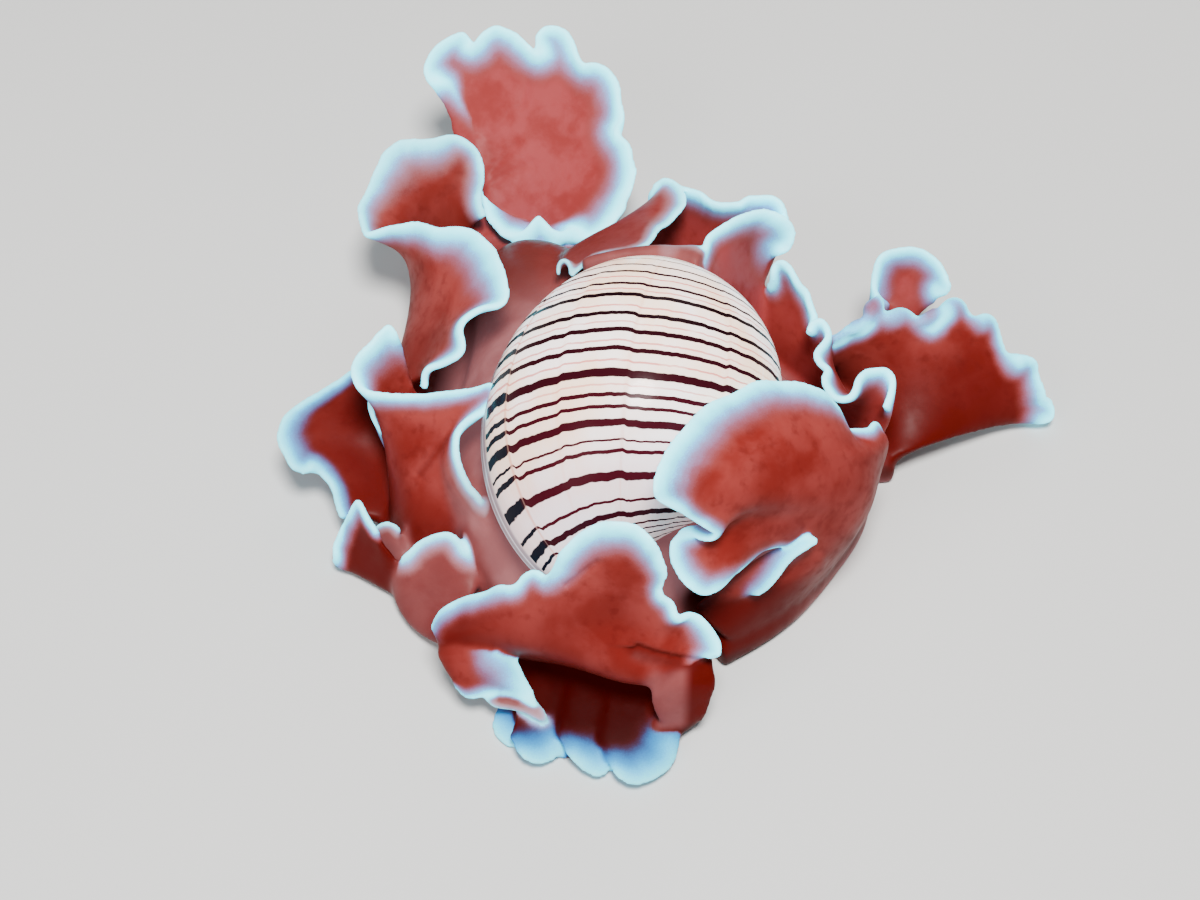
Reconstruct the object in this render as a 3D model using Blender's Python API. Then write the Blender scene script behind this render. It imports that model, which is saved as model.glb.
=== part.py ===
# Brown-lined paper bubble, a live bubble snail with its foot and ruffled side lobes spread round the shell.
# Metres, +Z up. The origin lies on the sole under the middle of the shell. The head faces -Y.
# Places are given as (bearing in degrees from +X, reach from the Z axis in mm, height in mm).
import math

import bmesh
import bpy
import numpy as np
from mathutils import Vector

MM = 0.001
GAP = 0.3                      # clear space kept between neighbouring pieces

# Shell: one growing whorl, scaled about its sunken apex
SHELL_APEX = (2.0, 12.2, 18.6)
SHELL_AXIS = (-0.161, -0.964, -0.209)   # from the apex towards the head
SHELL_RADIUS = 18.5            # at the outer lip
SHELL_HALF_LENGTH = 20.8
SHELL_MIDDLE = 12.7            # along the axis from the apex
SHELL_GROWTH = 2.2             # size ratio of one whole turn
LIP_ANGLE = 1.45               # radians round the axis from the top
SHELL_END = 1.42               # how far the whorl's outline is followed to its two ends, radians
SPIRE_SINK = 3.5
SHELL_FRONT_POINT = 0.55       # where the front end closes, in half lengths from the middle
FRONT_POINT_GROW = 6           # the front end is nearly flat, so its point moves this much more than the wall
SHELL_TURNS, SHELL_ROWS = 36, 15

# Foot: the body under the shell, flat below
FOOT_RIM = ((0, 21), (25, 23), (50, 23), (75, 25), (95, 31), (108, 40), (115, 42), (122, 40), (135, 31),
            (155, 26), (180, 24), (205, 24), (230, 22.5), (255, 21), (275, 19.5), (292, 17.5), (320, 17.5),
            (340, 18.5))
FOOT_RIM_HEIGHT = 5.0
FOOT_SIDE = ((0.93, 0.0), (0.985, 0.8), (1.0, 2.2), (0.99, 3.9), (0.95, FOOT_RIM_HEIGHT))
FOOT_CROWN = 13.0              # extra height where the body rises into the shell
CROWN_FULLNESS = 0.75          # below 1 the body stands full under the shell's lip
FOOT_STEP = 5                  # degrees of bearing between the rim's corners
FOOT_RINGS = 6

# Ruffled lobes. Each margin is a row of (bearing, reach, height), from the root's start to its end.
SHEET_ROOT = 1.8               # thickness where a lobe leaves its root
SHEET_RIM = 0.9                # thickness at the margin
BAND_THICK = 2.8
BAND_HEIGHT = 4.2
OUTER = BAND_THICK + GAP       # how far out the foot's own ruffles start from the rim

# Front edge of the foot: scallops between notches at these bearings and reaches
FRONT_NOTCHES = (234, 243.5, 251, 259, 272, 289)
FRONT_NOTCH_REACH = (29, 31, 31, 30.5, 29.5, 22)
FRONT_SCALLOP = 2.6
FRONT_THICK = 2.0
FRONT_EDGE = 1.1
FRONT_STEPS = 6                # columns a scallop

LIP_SIZE = (2.6, 1.7, 1.8)     # half sizes of one lip of the mouth
LIP_BEARINGS = (252, 261)
LIP_REACH, LIP_HEIGHT = 23.4, 4.7
EYE_RADIUS = 0.4
EYE_HEIGHT = 6.2
EYE_PLACES = {"eye_right": (250, 20.3), "eye_left": (260, 19.8)}

RED = (0.43, 0.06, 0.04)
PINK = (0.50, 0.11, 0.11)
MAUVE = (0.30, 0.13, 0.11)
IVORY = (0.80, 0.68, 0.60)
BLACK = (0.01, 0.01, 0.012)
FLESH_ROUGHNESS = 0.45


def polar(bearing, reach, height):
    turn = math.radians(bearing)
    return np.array((reach * math.cos(turn), reach * math.sin(turn), height))


def unwrapped(knots):
    """Bearings that run on past 0 or 360 without a jump."""
    rows = [list(knots[0])]
    for knot in knots[1:]:
        step = (knot[0] - rows[-1][0] + 180) % 360 - 180
        rows.append([rows[-1][0] + step] + list(knot[1:]))
    return np.array(rows, float)


def smooth_line(points, count):
    """Points evenly spaced along a Catmull-Rom curve through the given ones."""
    points = np.asarray(points, float)
    padded = np.vstack((2 * points[0] - points[1], points, 2 * points[-1] - points[-2]))
    fine = []
    for i in range(len(points) - 1):
        a, b, c, d = padded[i:i + 4]
        for t in np.linspace(0, 1, 16, endpoint=False):
            fine.append(0.5 * (2 * b + (c - a) * t + (2 * a - 5 * b + 4 * c - d) * t ** 2
                               + (3 * b - a - 3 * c + d) * t ** 3))
    fine = np.array(fine + [points[-1]])
    run = np.concatenate(([0], np.cumsum(np.linalg.norm(np.diff(fine, axis=0), axis=1))))
    wanted = np.linspace(0, run[-1], count)
    return np.stack([np.interp(wanted, run, fine[:, k]) for k in range(fine.shape[1])], axis=1)


def foot_reach(bearing):
    """Reach of the foot's rim at a bearing, a smooth closed curve through the rim's knots."""
    knots = [(b - 360, r) for b, r in FOOT_RIM[-3:]] + list(FOOT_RIM) + [(b + 360, r) for b, r in FOOT_RIM[:3]]
    bearing %= 360
    for i in range(1, len(knots) - 2):
        (b0, r0), (b1, r1), (b2, r2), (b3, r3) = knots[i - 1:i + 3]
        if b1 <= bearing <= b2:
            t = (bearing - b1) / (b2 - b1)
            m1 = (r2 - r0) / (b2 - b0) * (b2 - b1)
            m2 = (r3 - r1) / (b3 - b1) * (b2 - b1)
            return ((2 * t ** 3 - 3 * t ** 2 + 1) * r1 + (t ** 3 - 2 * t ** 2 + t) * m1
                    + (3 * t ** 2 - 2 * t ** 3) * r2 + (t ** 3 - t ** 2) * m2)
    raise ValueError("bearing outside the rim")


def rim_point(bearing, out, height):
    """A point at a distance (mm) out from the foot's rim, measured square to it."""
    here = polar(bearing, foot_reach(bearing), height)
    along = polar(bearing + 1, foot_reach(bearing + 1), 0) - polar(bearing - 1, foot_reach(bearing - 1), 0)
    along /= np.linalg.norm(along)
    return here + out * np.array((along[1], -along[0], 0))


def new_object(name, points, faces):
    mesh = bpy.data.meshes.new(name)
    mesh.from_pydata([tuple(p * MM) for p in np.asarray(points)], [], faces)
    surface = bmesh.new()
    surface.from_mesh(mesh)
    bmesh.ops.recalc_face_normals(surface, faces=surface.faces)
    bmesh.ops.triangulate(surface, faces=[f for f in surface.faces if len(f.verts) > 4])
    surface.to_mesh(mesh)
    surface.free()
    mesh.shade_smooth()
    obj = bpy.data.objects.new(name, mesh)
    bpy.context.scene.collection.objects.link(obj)
    return obj


def paint(obj, colour, roughness):
    material = bpy.data.materials.new(obj.name)
    material.use_nodes = True
    shader = material.node_tree.nodes["Principled BSDF"]
    shader.inputs["Base Color"].default_value = (*colour, 1)
    shader.inputs["Roughness"].default_value = roughness
    shader.inputs["Metallic"].default_value = 0.0
    obj.data.materials.clear()
    obj.data.materials.append(material)


def keep_largest(obj):
    """Drops every closed surface but the one with the most faces."""
    surface = bmesh.new()
    surface.from_mesh(obj.data)
    left = set(surface.faces)
    pieces = []
    while left:
        front = [left.pop()]
        piece = list(front)
        while front:
            face = front.pop()
            for edge in face.edges:
                for other in edge.link_faces:
                    if other in left:
                        left.remove(other)
                        front.append(other)
                        piece.append(other)
        pieces.append(piece)
    pieces.sort(key=len)
    for piece in pieces[:-1]:
        bmesh.ops.delete(surface, geom=piece, context="FACES")
    surface.to_mesh(obj.data)
    surface.free()


def apply_boolean(obj, operation, cutters, solver="MANIFOLD"):
    """One Boolean with a collection of closed meshes, applied, the collection's objects then removed."""
    group = bpy.data.collections.new(obj.name + "_pieces")
    for piece in cutters:
        group.objects.link(piece)
    modifier = obj.modifiers.new("join", "BOOLEAN")
    modifier.operation = operation
    modifier.operand_type = "COLLECTION"
    modifier.collection = group
    modifier.solver = solver
    bpy.context.view_layer.update()
    evaluated = obj.evaluated_get(bpy.context.evaluated_depsgraph_get())
    mesh = bpy.data.meshes.new_from_object(evaluated)
    obj.modifiers.clear()
    obj.data = mesh
    for piece in cutters:
        bpy.data.objects.remove(piece)
    bpy.data.collections.remove(group)
    keep_largest(obj)


def shell_form(name, grow):
    """The filled whorl, made larger all round by grow (mm)."""
    axis = Vector(SHELL_AXIS).normalized()
    top = (Vector((0, 0, 1)) - axis * axis.z).normalized()
    side = axis.cross(top)
    apex = Vector(SHELL_APEX)
    points = []
    for i in range(SHELL_TURNS + 1):
        back = 2 * math.pi * i / SHELL_TURNS
        size = SHELL_GROWTH ** (-back / (2 * math.pi))
        turn = LIP_ANGLE - back
        outward = top * math.cos(turn) + side * math.sin(turn)
        forward = side * math.cos(turn) - top * math.sin(turn)
        past_lip = forward * (grow if i in (0, SHELL_TURNS) else 0)
        for j in range(SHELL_ROWS + 1):
            place = SHELL_END - 2 * SHELL_END * j / SHELL_ROWS
            radius = size * SHELL_RADIUS * math.cos(place) + grow
            along = size * (SHELL_MIDDLE - SHELL_HALF_LENGTH * math.sin(place)) - grow * math.sin(place)
            points.append(apex + outward * radius + axis * along + past_lip)
    count = SHELL_ROWS + 1
    faces = []
    for i in range(SHELL_TURNS + 1):
        following = (i + 1) % (SHELL_TURNS + 1)
        for j in range(SHELL_ROWS):
            faces.append((i * count + j, i * count + j + 1, following * count + j + 1, following * count + j))
    points.append(apex + axis * (-SPIRE_SINK - grow))
    lip = side * math.cos(LIP_ANGLE) - top * math.sin(LIP_ANGLE)
    front_end = SHELL_MIDDLE + SHELL_FRONT_POINT * SHELL_HALF_LENGTH + FRONT_POINT_GROW * grow
    points.append(apex + axis * front_end + lip * grow)
    rear, front = len(points) - 2, len(points) - 1
    for i in range(SHELL_TURNS + 1):
        following = (i + 1) % (SHELL_TURNS + 1)
        faces.append((rear, i * count, following * count))
        faces.append((front, following * count + SHELL_ROWS, i * count + SHELL_ROWS))
    return new_object(name, np.array([tuple(p) for p in points]), faces)


def foot_form():
    """Flat sole, a low rounded rim and a crown that rises into the shell."""
    rings = list(FOOT_SIDE)
    for k in range(1, FOOT_RINGS):
        inward = 1 - k / FOOT_RINGS
        height = FOOT_RIM_HEIGHT + FOOT_CROWN * (1 - inward ** 2) ** CROWN_FULLNESS
        rings.append((FOOT_SIDE[-1][0] * inward, height))
    points, faces = [], []
    sides = 360 // FOOT_STEP
    for share, height in rings:
        for k in range(sides):
            bearing = FOOT_STEP * k
            points.append(polar(bearing, share * foot_reach(bearing), height))
    for row in range(len(rings) - 1):
        for k in range(sides):
            following = (k + 1) % sides
            faces.append((row * sides + k, row * sides + following,
                          (row + 1) * sides + following, (row + 1) * sides + k))
    points.append(np.array((0, 0, FOOT_RIM_HEIGHT + FOOT_CROWN)))
    last = (len(rings) - 1) * sides
    for k in range(sides):
        faces.append((last + k, last + (k + 1) % sides, len(points) - 1))
    faces.append(tuple(reversed(range(sides))))
    return new_object("foot", np.array(points), faces)


def band(name, start, end, inset=0.0, thick=BAND_THICK, low=0.0, high=BAND_HEIGHT):
    """Root of a group of lobes: a length of rounded rim, laid round the foot from one bearing to another."""
    first = math.floor(start / FOOT_STEP) + 1
    bearings = [start] + [FOOT_STEP * k for k in range(first, math.ceil(end / FOOT_STEP))] + [end]
    outline = ((0, low), (0.8 * thick, low), (thick, low + 0.25 * (high - low)),
               (0.9 * thick, low + 0.75 * (high - low)), (0.5 * thick, high), (0, high - 0.4))
    points, faces = [], []
    for bearing in bearings:
        for out, height in outline:
            points.append(rim_point(bearing, GAP + inset + out, height))
    steps = len(bearings) - 1
    n = len(outline)
    for i in range(steps):
        for j in range(n):
            following = (j + 1) % n
            faces.append((i * n + j, i * n + following, (i + 1) * n + following, (i + 1) * n + j))
    faces.append(tuple(range(n)))
    faces.append(tuple(range(steps * n, steps * n + n)))
    return new_object(name, np.array(points), faces)


def sheet(name, root, margin, rise, turn, columns, rows=5, inset=0.0, root_thick=SHEET_ROOT, start=2.0,
          lean=0.0):
    """A thin lobe that climbs from its root and comes to its margin from turn = (mm outward, mm up) of it."""
    middle = GAP + inset + BAND_THICK / 2
    base = np.array([rim_point(b, middle, start) for b in np.linspace(root[0], root[1], columns + 1)])
    edge = smooth_line([polar(*p) for p in unwrapped(margin)], columns + 1)
    outward = base * (1, 1, 0)
    outward /= np.linalg.norm(outward, axis=1)[:, None]
    first = base + outward * lean + np.array((0, 0, rise))
    climb = np.clip((edge[:, 2:] - start) / (edge[:, 2].max() - start), 0, 1)
    second = edge + outward * turn[0] + climb * np.array((0, 0, turn[1]))
    grid = np.array([base * (1 - t) ** 3 + 3 * first * t * (1 - t) ** 2 + 3 * second * t * t * (1 - t)
                     + edge * t ** 3 for t in np.linspace(0, 1, rows + 1)]).transpose(1, 0, 2)
    normal = np.cross(np.gradient(grid, axis=0), np.gradient(grid, axis=1))
    normal /= np.linalg.norm(normal, axis=2)[..., None] + 1e-9
    half = np.linspace(root_thick, SHEET_RIM, rows + 1)[None, :, None] / 2
    points = np.concatenate(((grid + normal * half).reshape(-1, 3), (grid - normal * half).reshape(-1, 3)))
    wide, under = rows + 1, (columns + 1) * (rows + 1)
    faces = []
    for i in range(columns):
        for j in range(rows):
            a, b, c, d = i * wide + j, (i + 1) * wide + j, (i + 1) * wide + j + 1, i * wide + j + 1
            faces += [(a, b, c), (a, c, d), (under + a, under + c, under + b), (under + a, under + d, under + c)]
    loop = ([(i * wide, (i + 1) * wide) for i in range(columns)]
            + [(columns * wide + j, columns * wide + j + 1) for j in range(rows)]
            + [((i + 1) * wide + rows, i * wide + rows) for i in reversed(range(columns))]
            + [(j + 1, j) for j in reversed(range(rows))])
    faces += [(a, b, under + b, under + a) for a, b in loop]
    return new_object(name, points, faces)


def front_edge():
    """The foot's scalloped front, a thin shelf that lies on the floor under the head."""
    points, faces = [], []
    columns = []
    for k in range(len(FRONT_NOTCHES) - 1):
        for step in range(FRONT_STEPS):
            t = step / FRONT_STEPS
            bearing = FRONT_NOTCHES[k] * (1 - t) + FRONT_NOTCHES[k + 1] * t
            reach = FRONT_NOTCH_REACH[k] * (1 - t) + FRONT_NOTCH_REACH[k + 1] * t
            columns.append((bearing, reach + FRONT_SCALLOP * math.sin(math.pi * t) ** 0.7))
    columns.append((FRONT_NOTCHES[-1], FRONT_NOTCH_REACH[-1]))
    for bearing, reach in columns:
        inner = foot_reach(bearing) + GAP
        for share, height in ((0, 0), (0.92, 0), (1, 0.5 * FRONT_EDGE), (0.95, FRONT_EDGE),
                              (0.5, 0.5 * (FRONT_THICK + FRONT_EDGE)), (0, FRONT_THICK)):
            points.append(polar(bearing, inner + share * (reach - inner), height))
    for i in range(len(columns) - 1):
        for j in range(6):
            following = (j + 1) % 6
            a, b = i * 6 + j, i * 6 + following
            faces += [(a, b, b + 6), (a, b + 6, a + 6)]
    faces.append(tuple(range(6)))
    faces.append(tuple(range(len(points) - 6, len(points))))
    return new_object("foot_front_edge", np.array(points), faces)


def ball(name, centre, sizes, turn=0.0, segments=14, rings=8):
    """A closed ellipsoid, turned about the Z axis."""
    mesh = bmesh.new()
    bmesh.ops.create_uvsphere(mesh, u_segments=segments, v_segments=rings, radius=1)
    points = [(v.co.x * sizes[0], v.co.y * sizes[1], v.co.z * sizes[2]) for v in mesh.verts]
    faces = [tuple(v.index for v in f.verts) for f in mesh.faces]
    mesh.free()
    c, s = math.cos(turn), math.sin(turn)
    return new_object(name, np.array([(c * x - s * y, s * x + c * y, z) for x, y, z in points]) + centre, faces)


def lobes(name, span, root_band, sheets, colour, extra=()):
    """One node: a root band with its sheets, and any extra pieces, fused to it."""
    body = band(name, *span, **root_band)
    pieces = [sheet(f"{name}_{k}", *given, **options) for k, (*given, options) in enumerate(sheets)]
    pieces += extra
    apply_boolean(body, "UNION", pieces)
    paint(body, colour, FLESH_ROUGHNESS)


for old in list(bpy.data.objects):
    bpy.data.objects.remove(old)

shell = shell_form("shell", 0.0)
paint(shell, IVORY, 0.2)

foot = foot_form()
apply_boolean(foot, "DIFFERENCE", [shell_form("seat", GAP)])
paint(foot, MAUVE, 0.5)

front = front_edge()
paint(front, RED, FLESH_ROUGHNESS)

lips = [ball(f"lip_{k}", polar(b, LIP_REACH, LIP_HEIGHT), LIP_SIZE, math.radians(b + 90))
        for k, b in enumerate(LIP_BEARINGS)]
lobes("head_shield", (228, 287), dict(low=2.6, high=6.4), [
    ((230, 285),
     [(219, 30, 8), (220, 26, 11), (226, 23, 13.5), (236, 21, 16), (239, 19.5, 19), (243, 18.5, 22),
      (255, 17.5, 25.5), (265, 18, 25), (272, 19.5, 20), (271, 20, 17), (281, 21.5, 14), (285, 23.5, 11)],
     2, (5, -4), 28, dict(root_thick=2.2, start=4.6, lean=5.0)),
    ((230, 244),
     [(223, 30, 5), (229, 31.5, 4), (233, 30.5, 4.5), (237, 29.5, 5), (240, 28, 5), (246, 28.5, 3.5)],
     0, (-2, 2), 12, dict(start=4.5)),
], RED, extra=lips)

for name, (bearing, reach) in EYE_PLACES.items():
    eye = ball(name, polar(bearing, reach, EYE_HEIGHT), (EYE_RADIUS,) * 3, 0.0, 8, 6)
    paint(eye, BLACK, 0.15)

lobes("parapodium_left_front", (291, 369), {}, [
    ((368, 293),
     [(9, 25, 17), (358, 21.5, 18.5), (359, 18.5, 22), (3, 16, 24), (356, 11, 27), (310, 8, 30),
      (270, 12.5, 31), (266, 16, 30), (275, 16.5, 27), (287, 17.5, 23), (277, 16, 21), (274, 17, 19.5),
      (284, 19, 14), (299, 17, 14.5), (313, 17.5, 15), (323, 20.5, 15), (315, 19.5, 12), (303, 19, 9.5)],
     9, (5, -4), 38, {}),
], RED)

lobes("parapodium_left_mid", (10, 52), {}, [
    ((51, 11),
     [(57, 27, 13.5), (55, 27.8, 15.5), (51, 28, 13.5), (47, 26.5, 12), (42, 23, 14.5), (41, 24.5, 15.5),
      (37, 24, 14.5), (34, 21.5, 15), (25, 21, 15.5), (20, 19.5, 16), (11, 20, 17.5), (15, 22.5, 17.5),
      (19, 26.5, 16.5), (12, 26, 15)],
     5, (2, -4), 32, {}),
], RED)

lobes("foot_ruffle_left", (12, 50), dict(inset=OUTER), [
    ((39, 13),
     [(38, 28.5, 11), (36, 30.5, 12.5), (38, 32.5, 13.5), (34, 34.5, 12.5), (31, 36.5, 11.5), (32, 40, 12),
      (28, 43, 10.5), (24, 44.5, 7.5), (21, 47, 6), (17, 48.5, 2.5), (15, 46.5, 1.2)],
     4, (-3, 3), 28, dict(inset=OUTER)),
    ((49, 40),
     [(47, 35.5, 8), (47, 36.5, 12), (46, 39.5, 13.5), (43, 42, 13.5), (38, 43, 12.5), (37, 41, 10.5)],
     2, (-5, -3), 12, dict(inset=OUTER)),
], RED)

lobes("parapodium_left_rear", (53, 104), {}, [
    ((96, 83),
     [(114, 25.5, 17), (106, 24, 18.5), (92, 24, 19), (83, 30.5, 18), (87, 36.5, 16.5), (89, 37.5, 14)],
     6, (4, -3), 16, {}),
    ((82, 66),
     [(83, 34.5, 17), (76, 31.5, 19), (71, 32, 19.5), (67, 33.5, 20), (62, 33.5, 19.5)],
     5, (0, -6), 14, {}),
    ((65, 54),
     [(76, 19, 22), (76, 21.5, 22.5), (72, 26, 22), (67, 30.5, 20.5), (61, 32.5, 19), (59, 30, 15)],
     5, (3, -4), 14, {}),
], RED)

lobes("parapodium_right_rear", (122, 157), {}, [
    ((129, 156),
     [(137, 45.5, 13), (134, 42.5, 15), (131, 37, 17.5), (127, 31.5, 19), (132, 24, 20), (139, 22.5, 19.5),
      (144, 24.5, 19), (149, 24, 17.5), (154, 24, 15.5), (155, 26, 11)],
     8, (9, -4), 28, {}),
    ((140, 123),
     [(137, 45.5, 13), (134, 49.5, 12), (128, 53, 13), (124, 54, 14), (118, 51.5, 14), (116, 49, 12),
      (118, 46, 9)],
     2, (-6, -4), 18, {}),
], RED)

lobes("parapodium_right_mid", (158, 199), {}, [
    ((159, 198),
     [(161, 28, 11), (158, 30.5, 17), (157, 31.5, 19), (162, 33, 18), (166, 34, 16.5), (168, 31.5, 15.5),
      (169, 25, 17), (168, 20.5, 20.5), (171, 16.8, 24), (177, 19.5, 19.5), (184, 21, 16), (189, 20.5, 13),
      (197, 20, 10)],
     8, (5, -4), 32, {}),
], RED)

lobes("foot_ruffle_right", (158, 200), dict(inset=OUTER), [
    ((160, 186),
     [(159, 36, 11), (163, 37.5, 10.5), (167, 40.5, 9.5), (171, 42.5, 8), (175, 41.5, 7), (177, 40, 6.5),
      (176, 38.5, 6), (177, 36.5, 5.5), (184, 35, 4)],
     1, (-5, -1), 20, dict(inset=OUTER)),
    ((185, 198),
     [(184, 35, 4), (186, 32.5, 9), (191, 31.5, 8.5), (197, 30, 6)],
     3, (0, -3), 12, dict(inset=OUTER)),
], RED)

lobes("parapodium_right_front", (201, 227), {}, [
    ((202, 225),
     [(206, 29, 4), (204, 28, 6), (203, 26, 8), (204, 23.5, 9), (208, 22.5, 8), (212, 21.5, 7)],
     4, (2, 0), 14, {}),
], RED)

lobes("tail_fan", (107, 121), {}, [
    ((120, 108),
     [(113, 53, 10), (114, 58.5, 13.5), (117, 62, 14.5), (114, 63.5, 17), (111, 63.5, 18), (110, 61.5, 17.5),
      (107, 62, 19), (103, 57.5, 18), (101, 59, 20), (99, 56.5, 18), (96, 54.5, 17), (94, 48.5, 14.5),
      (92, 44.5, 12), (95, 41, 9), (101, 38.5, 7.5), (106, 41.5, 7)],
     2, (-3, -5), 32, {}),
], PINK)
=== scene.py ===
import math

import bmesh
import bpy
import numpy as np
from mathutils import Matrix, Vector
from mathutils.kdtree import KDTree


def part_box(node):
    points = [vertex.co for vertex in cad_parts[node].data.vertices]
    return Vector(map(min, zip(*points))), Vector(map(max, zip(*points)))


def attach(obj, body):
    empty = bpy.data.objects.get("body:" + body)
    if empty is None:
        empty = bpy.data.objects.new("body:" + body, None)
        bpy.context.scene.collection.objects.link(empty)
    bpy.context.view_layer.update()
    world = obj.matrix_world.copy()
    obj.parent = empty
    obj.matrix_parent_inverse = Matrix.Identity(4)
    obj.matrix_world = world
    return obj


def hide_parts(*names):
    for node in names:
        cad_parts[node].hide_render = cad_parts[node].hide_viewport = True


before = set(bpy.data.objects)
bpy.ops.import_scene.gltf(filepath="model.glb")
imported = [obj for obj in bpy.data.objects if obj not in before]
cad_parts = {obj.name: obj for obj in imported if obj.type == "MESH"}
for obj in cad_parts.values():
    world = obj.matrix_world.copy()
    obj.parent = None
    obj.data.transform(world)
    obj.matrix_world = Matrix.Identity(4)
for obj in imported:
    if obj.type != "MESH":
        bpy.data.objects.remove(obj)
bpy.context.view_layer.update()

MM = 0.001


# The camera: it stands in front of the head and above it and looks down at 55 degrees, as in the
# photograph. The margins of the lobes are set where the photograph shows them, each point at its
# own height over the floor, so the camera comes first.
VIEW_DISTANCE = 206.8          # mm from the point looked at
VIEW_ELEVATION = math.radians(55)
LOOKED_AT = np.array((-6.0, -4.3, 19.5))
PHOTO_WIDE, PHOTO_TALL = 1200, 900
PHOTO_REACH = 2000.0           # focal length in pixels of the photograph
SENSOR = 36                    # mm

view_back = np.array((0, -math.cos(VIEW_ELEVATION), math.sin(VIEW_ELEVATION)))
view_up = np.array((0, math.sin(VIEW_ELEVATION), math.cos(VIEW_ELEVATION)))
view_place = LOOKED_AT + VIEW_DISTANCE * view_back

camera = bpy.data.objects.new("camera", bpy.data.cameras.new("camera"))
camera.location = Vector(view_place * MM)
camera.rotation_euler = (math.pi / 2 - VIEW_ELEVATION, 0, 0)
camera.data.sensor_width = SENSOR
camera.data.lens = SENSOR * PHOTO_REACH / PHOTO_WIDE
camera.data.clip_start = MM
bpy.context.scene.collection.objects.link(camera)
bpy.context.scene.camera = camera


def seen(across, down, height):
    """The point (mm) at a height over the floor that shows at this place in the photograph."""
    look = ((across - PHOTO_WIDE / 2) / PHOTO_REACH * np.array((1, 0, 0))
            + (PHOTO_TALL / 2 - down) / PHOTO_REACH * view_up - view_back)
    return view_place + look * (height - view_place[2]) / look[2]


def shown(points):
    """Where points (mm) show in the photograph, as across and down."""
    look = points - view_place
    deep = -(look @ view_back)
    return np.stack((PHOTO_WIDE / 2 + PHOTO_REACH * look[:, 0] / deep,
                     PHOTO_TALL / 2 - PHOTO_REACH * (look @ view_up) / deep), axis=1)


# The shell: one thin, inflated whorl of porcelain-smooth lime, coiled round a sunken apex and
# open along the lip on the animal's right. It grew outwards at the lip, which left faint seams
# across it, and its brown lines were laid down along the coil as it grew.
SHELL_APEX = np.array((2.0, 12.2, 18.6))
SHELL_AXIS = np.array((-0.161, -0.964, -0.209))
SHELL_RADIUS = 18.5
SHELL_HALF_LENGTH = 20.8
SHELL_MIDDLE = 12.7
SHELL_GROWTH = 2.2
LIP_ANGLE = 1.45
SHELL_END = 1.42
SPIRE_SINK = 3.5
FRONT_END = SHELL_MIDDLE + 0.55 * SHELL_HALF_LENGTH
SHELL_WALL = 0.45              # thickness of the lip
LIP_TURNS = (-0.012, -0.02, -0.02, -0.012, 0.0, 0.04, 0.1, 0.16)   # the rounded lip, from the outer
LIP_DEPTHS = (0.03, 0.12, 0.28, 0.4) + 4 * (SHELL_WALL,)           # wall round into the hollow
LIP_TAPER = 0.5                # where the lip starts to thin towards its two ends
HOLLOW_BACK = 3.0              # the turn noted for the two middles that close the ends
TURN_STEPS, PLACE_STEPS = 300, 220

shell_axis = SHELL_AXIS / np.linalg.norm(SHELL_AXIS)
shell_top = np.array((0, 0, 1)) - shell_axis * shell_axis[2]
shell_top /= np.linalg.norm(shell_top)
shell_side = np.cross(shell_axis, shell_top)


def whorl(back, place, grow=0.0):
    """Points on the whorl, at an angle back from the lip and a place from the front (-) to the spire (+)."""
    back, place = np.broadcast_arrays(back, place)
    size = SHELL_GROWTH ** (-back / (2 * math.pi))
    turn = LIP_ANGLE - back
    outward = np.cos(turn)[..., None] * shell_top + np.sin(turn)[..., None] * shell_side
    radius = size * SHELL_RADIUS * np.cos(place) + grow
    along = size * (SHELL_MIDDLE - SHELL_HALF_LENGTH * np.sin(place)) - grow * np.sin(place)
    return SHELL_APEX + radius[..., None] * outward + along[..., None] * shell_axis


def grid_faces(rows, columns, closed=False):
    """Corner numbers of the quads of a grid stored row by row."""
    i, j = np.meshgrid(np.arange(rows if closed else rows - 1), np.arange(columns - 1), indexing="ij")
    a = i * columns + j
    b = (i + 1) % rows * columns + j
    return np.stack((a, b, b + 1, a + 1), axis=-1).reshape(-1, 4)


def mesh_object(name, points, faces, scale=MM):
    """A smooth-shaded mesh object from points (mm) and faces, with its normals turned outwards."""
    mesh = bpy.data.meshes.new(name)
    mesh.from_pydata((np.asarray(points) * scale).tolist(), [], [tuple(map(int, f)) for f in faces])
    surface = bmesh.new()
    surface.from_mesh(mesh)
    bmesh.ops.recalc_face_normals(surface, faces=surface.faces)
    surface.to_mesh(mesh)
    surface.free()
    mesh.shade_smooth()
    obj = bpy.data.objects.new(name, mesh)
    bpy.context.scene.collection.objects.link(obj)
    return obj


def note(obj, name, values):
    """Stores one number for each point of a mesh, for its material to read."""
    layer = obj.data.attributes.new(name, "FLOAT", "POINT")
    layer.data.foreach_set("value", np.asarray(values, np.float32))


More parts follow.
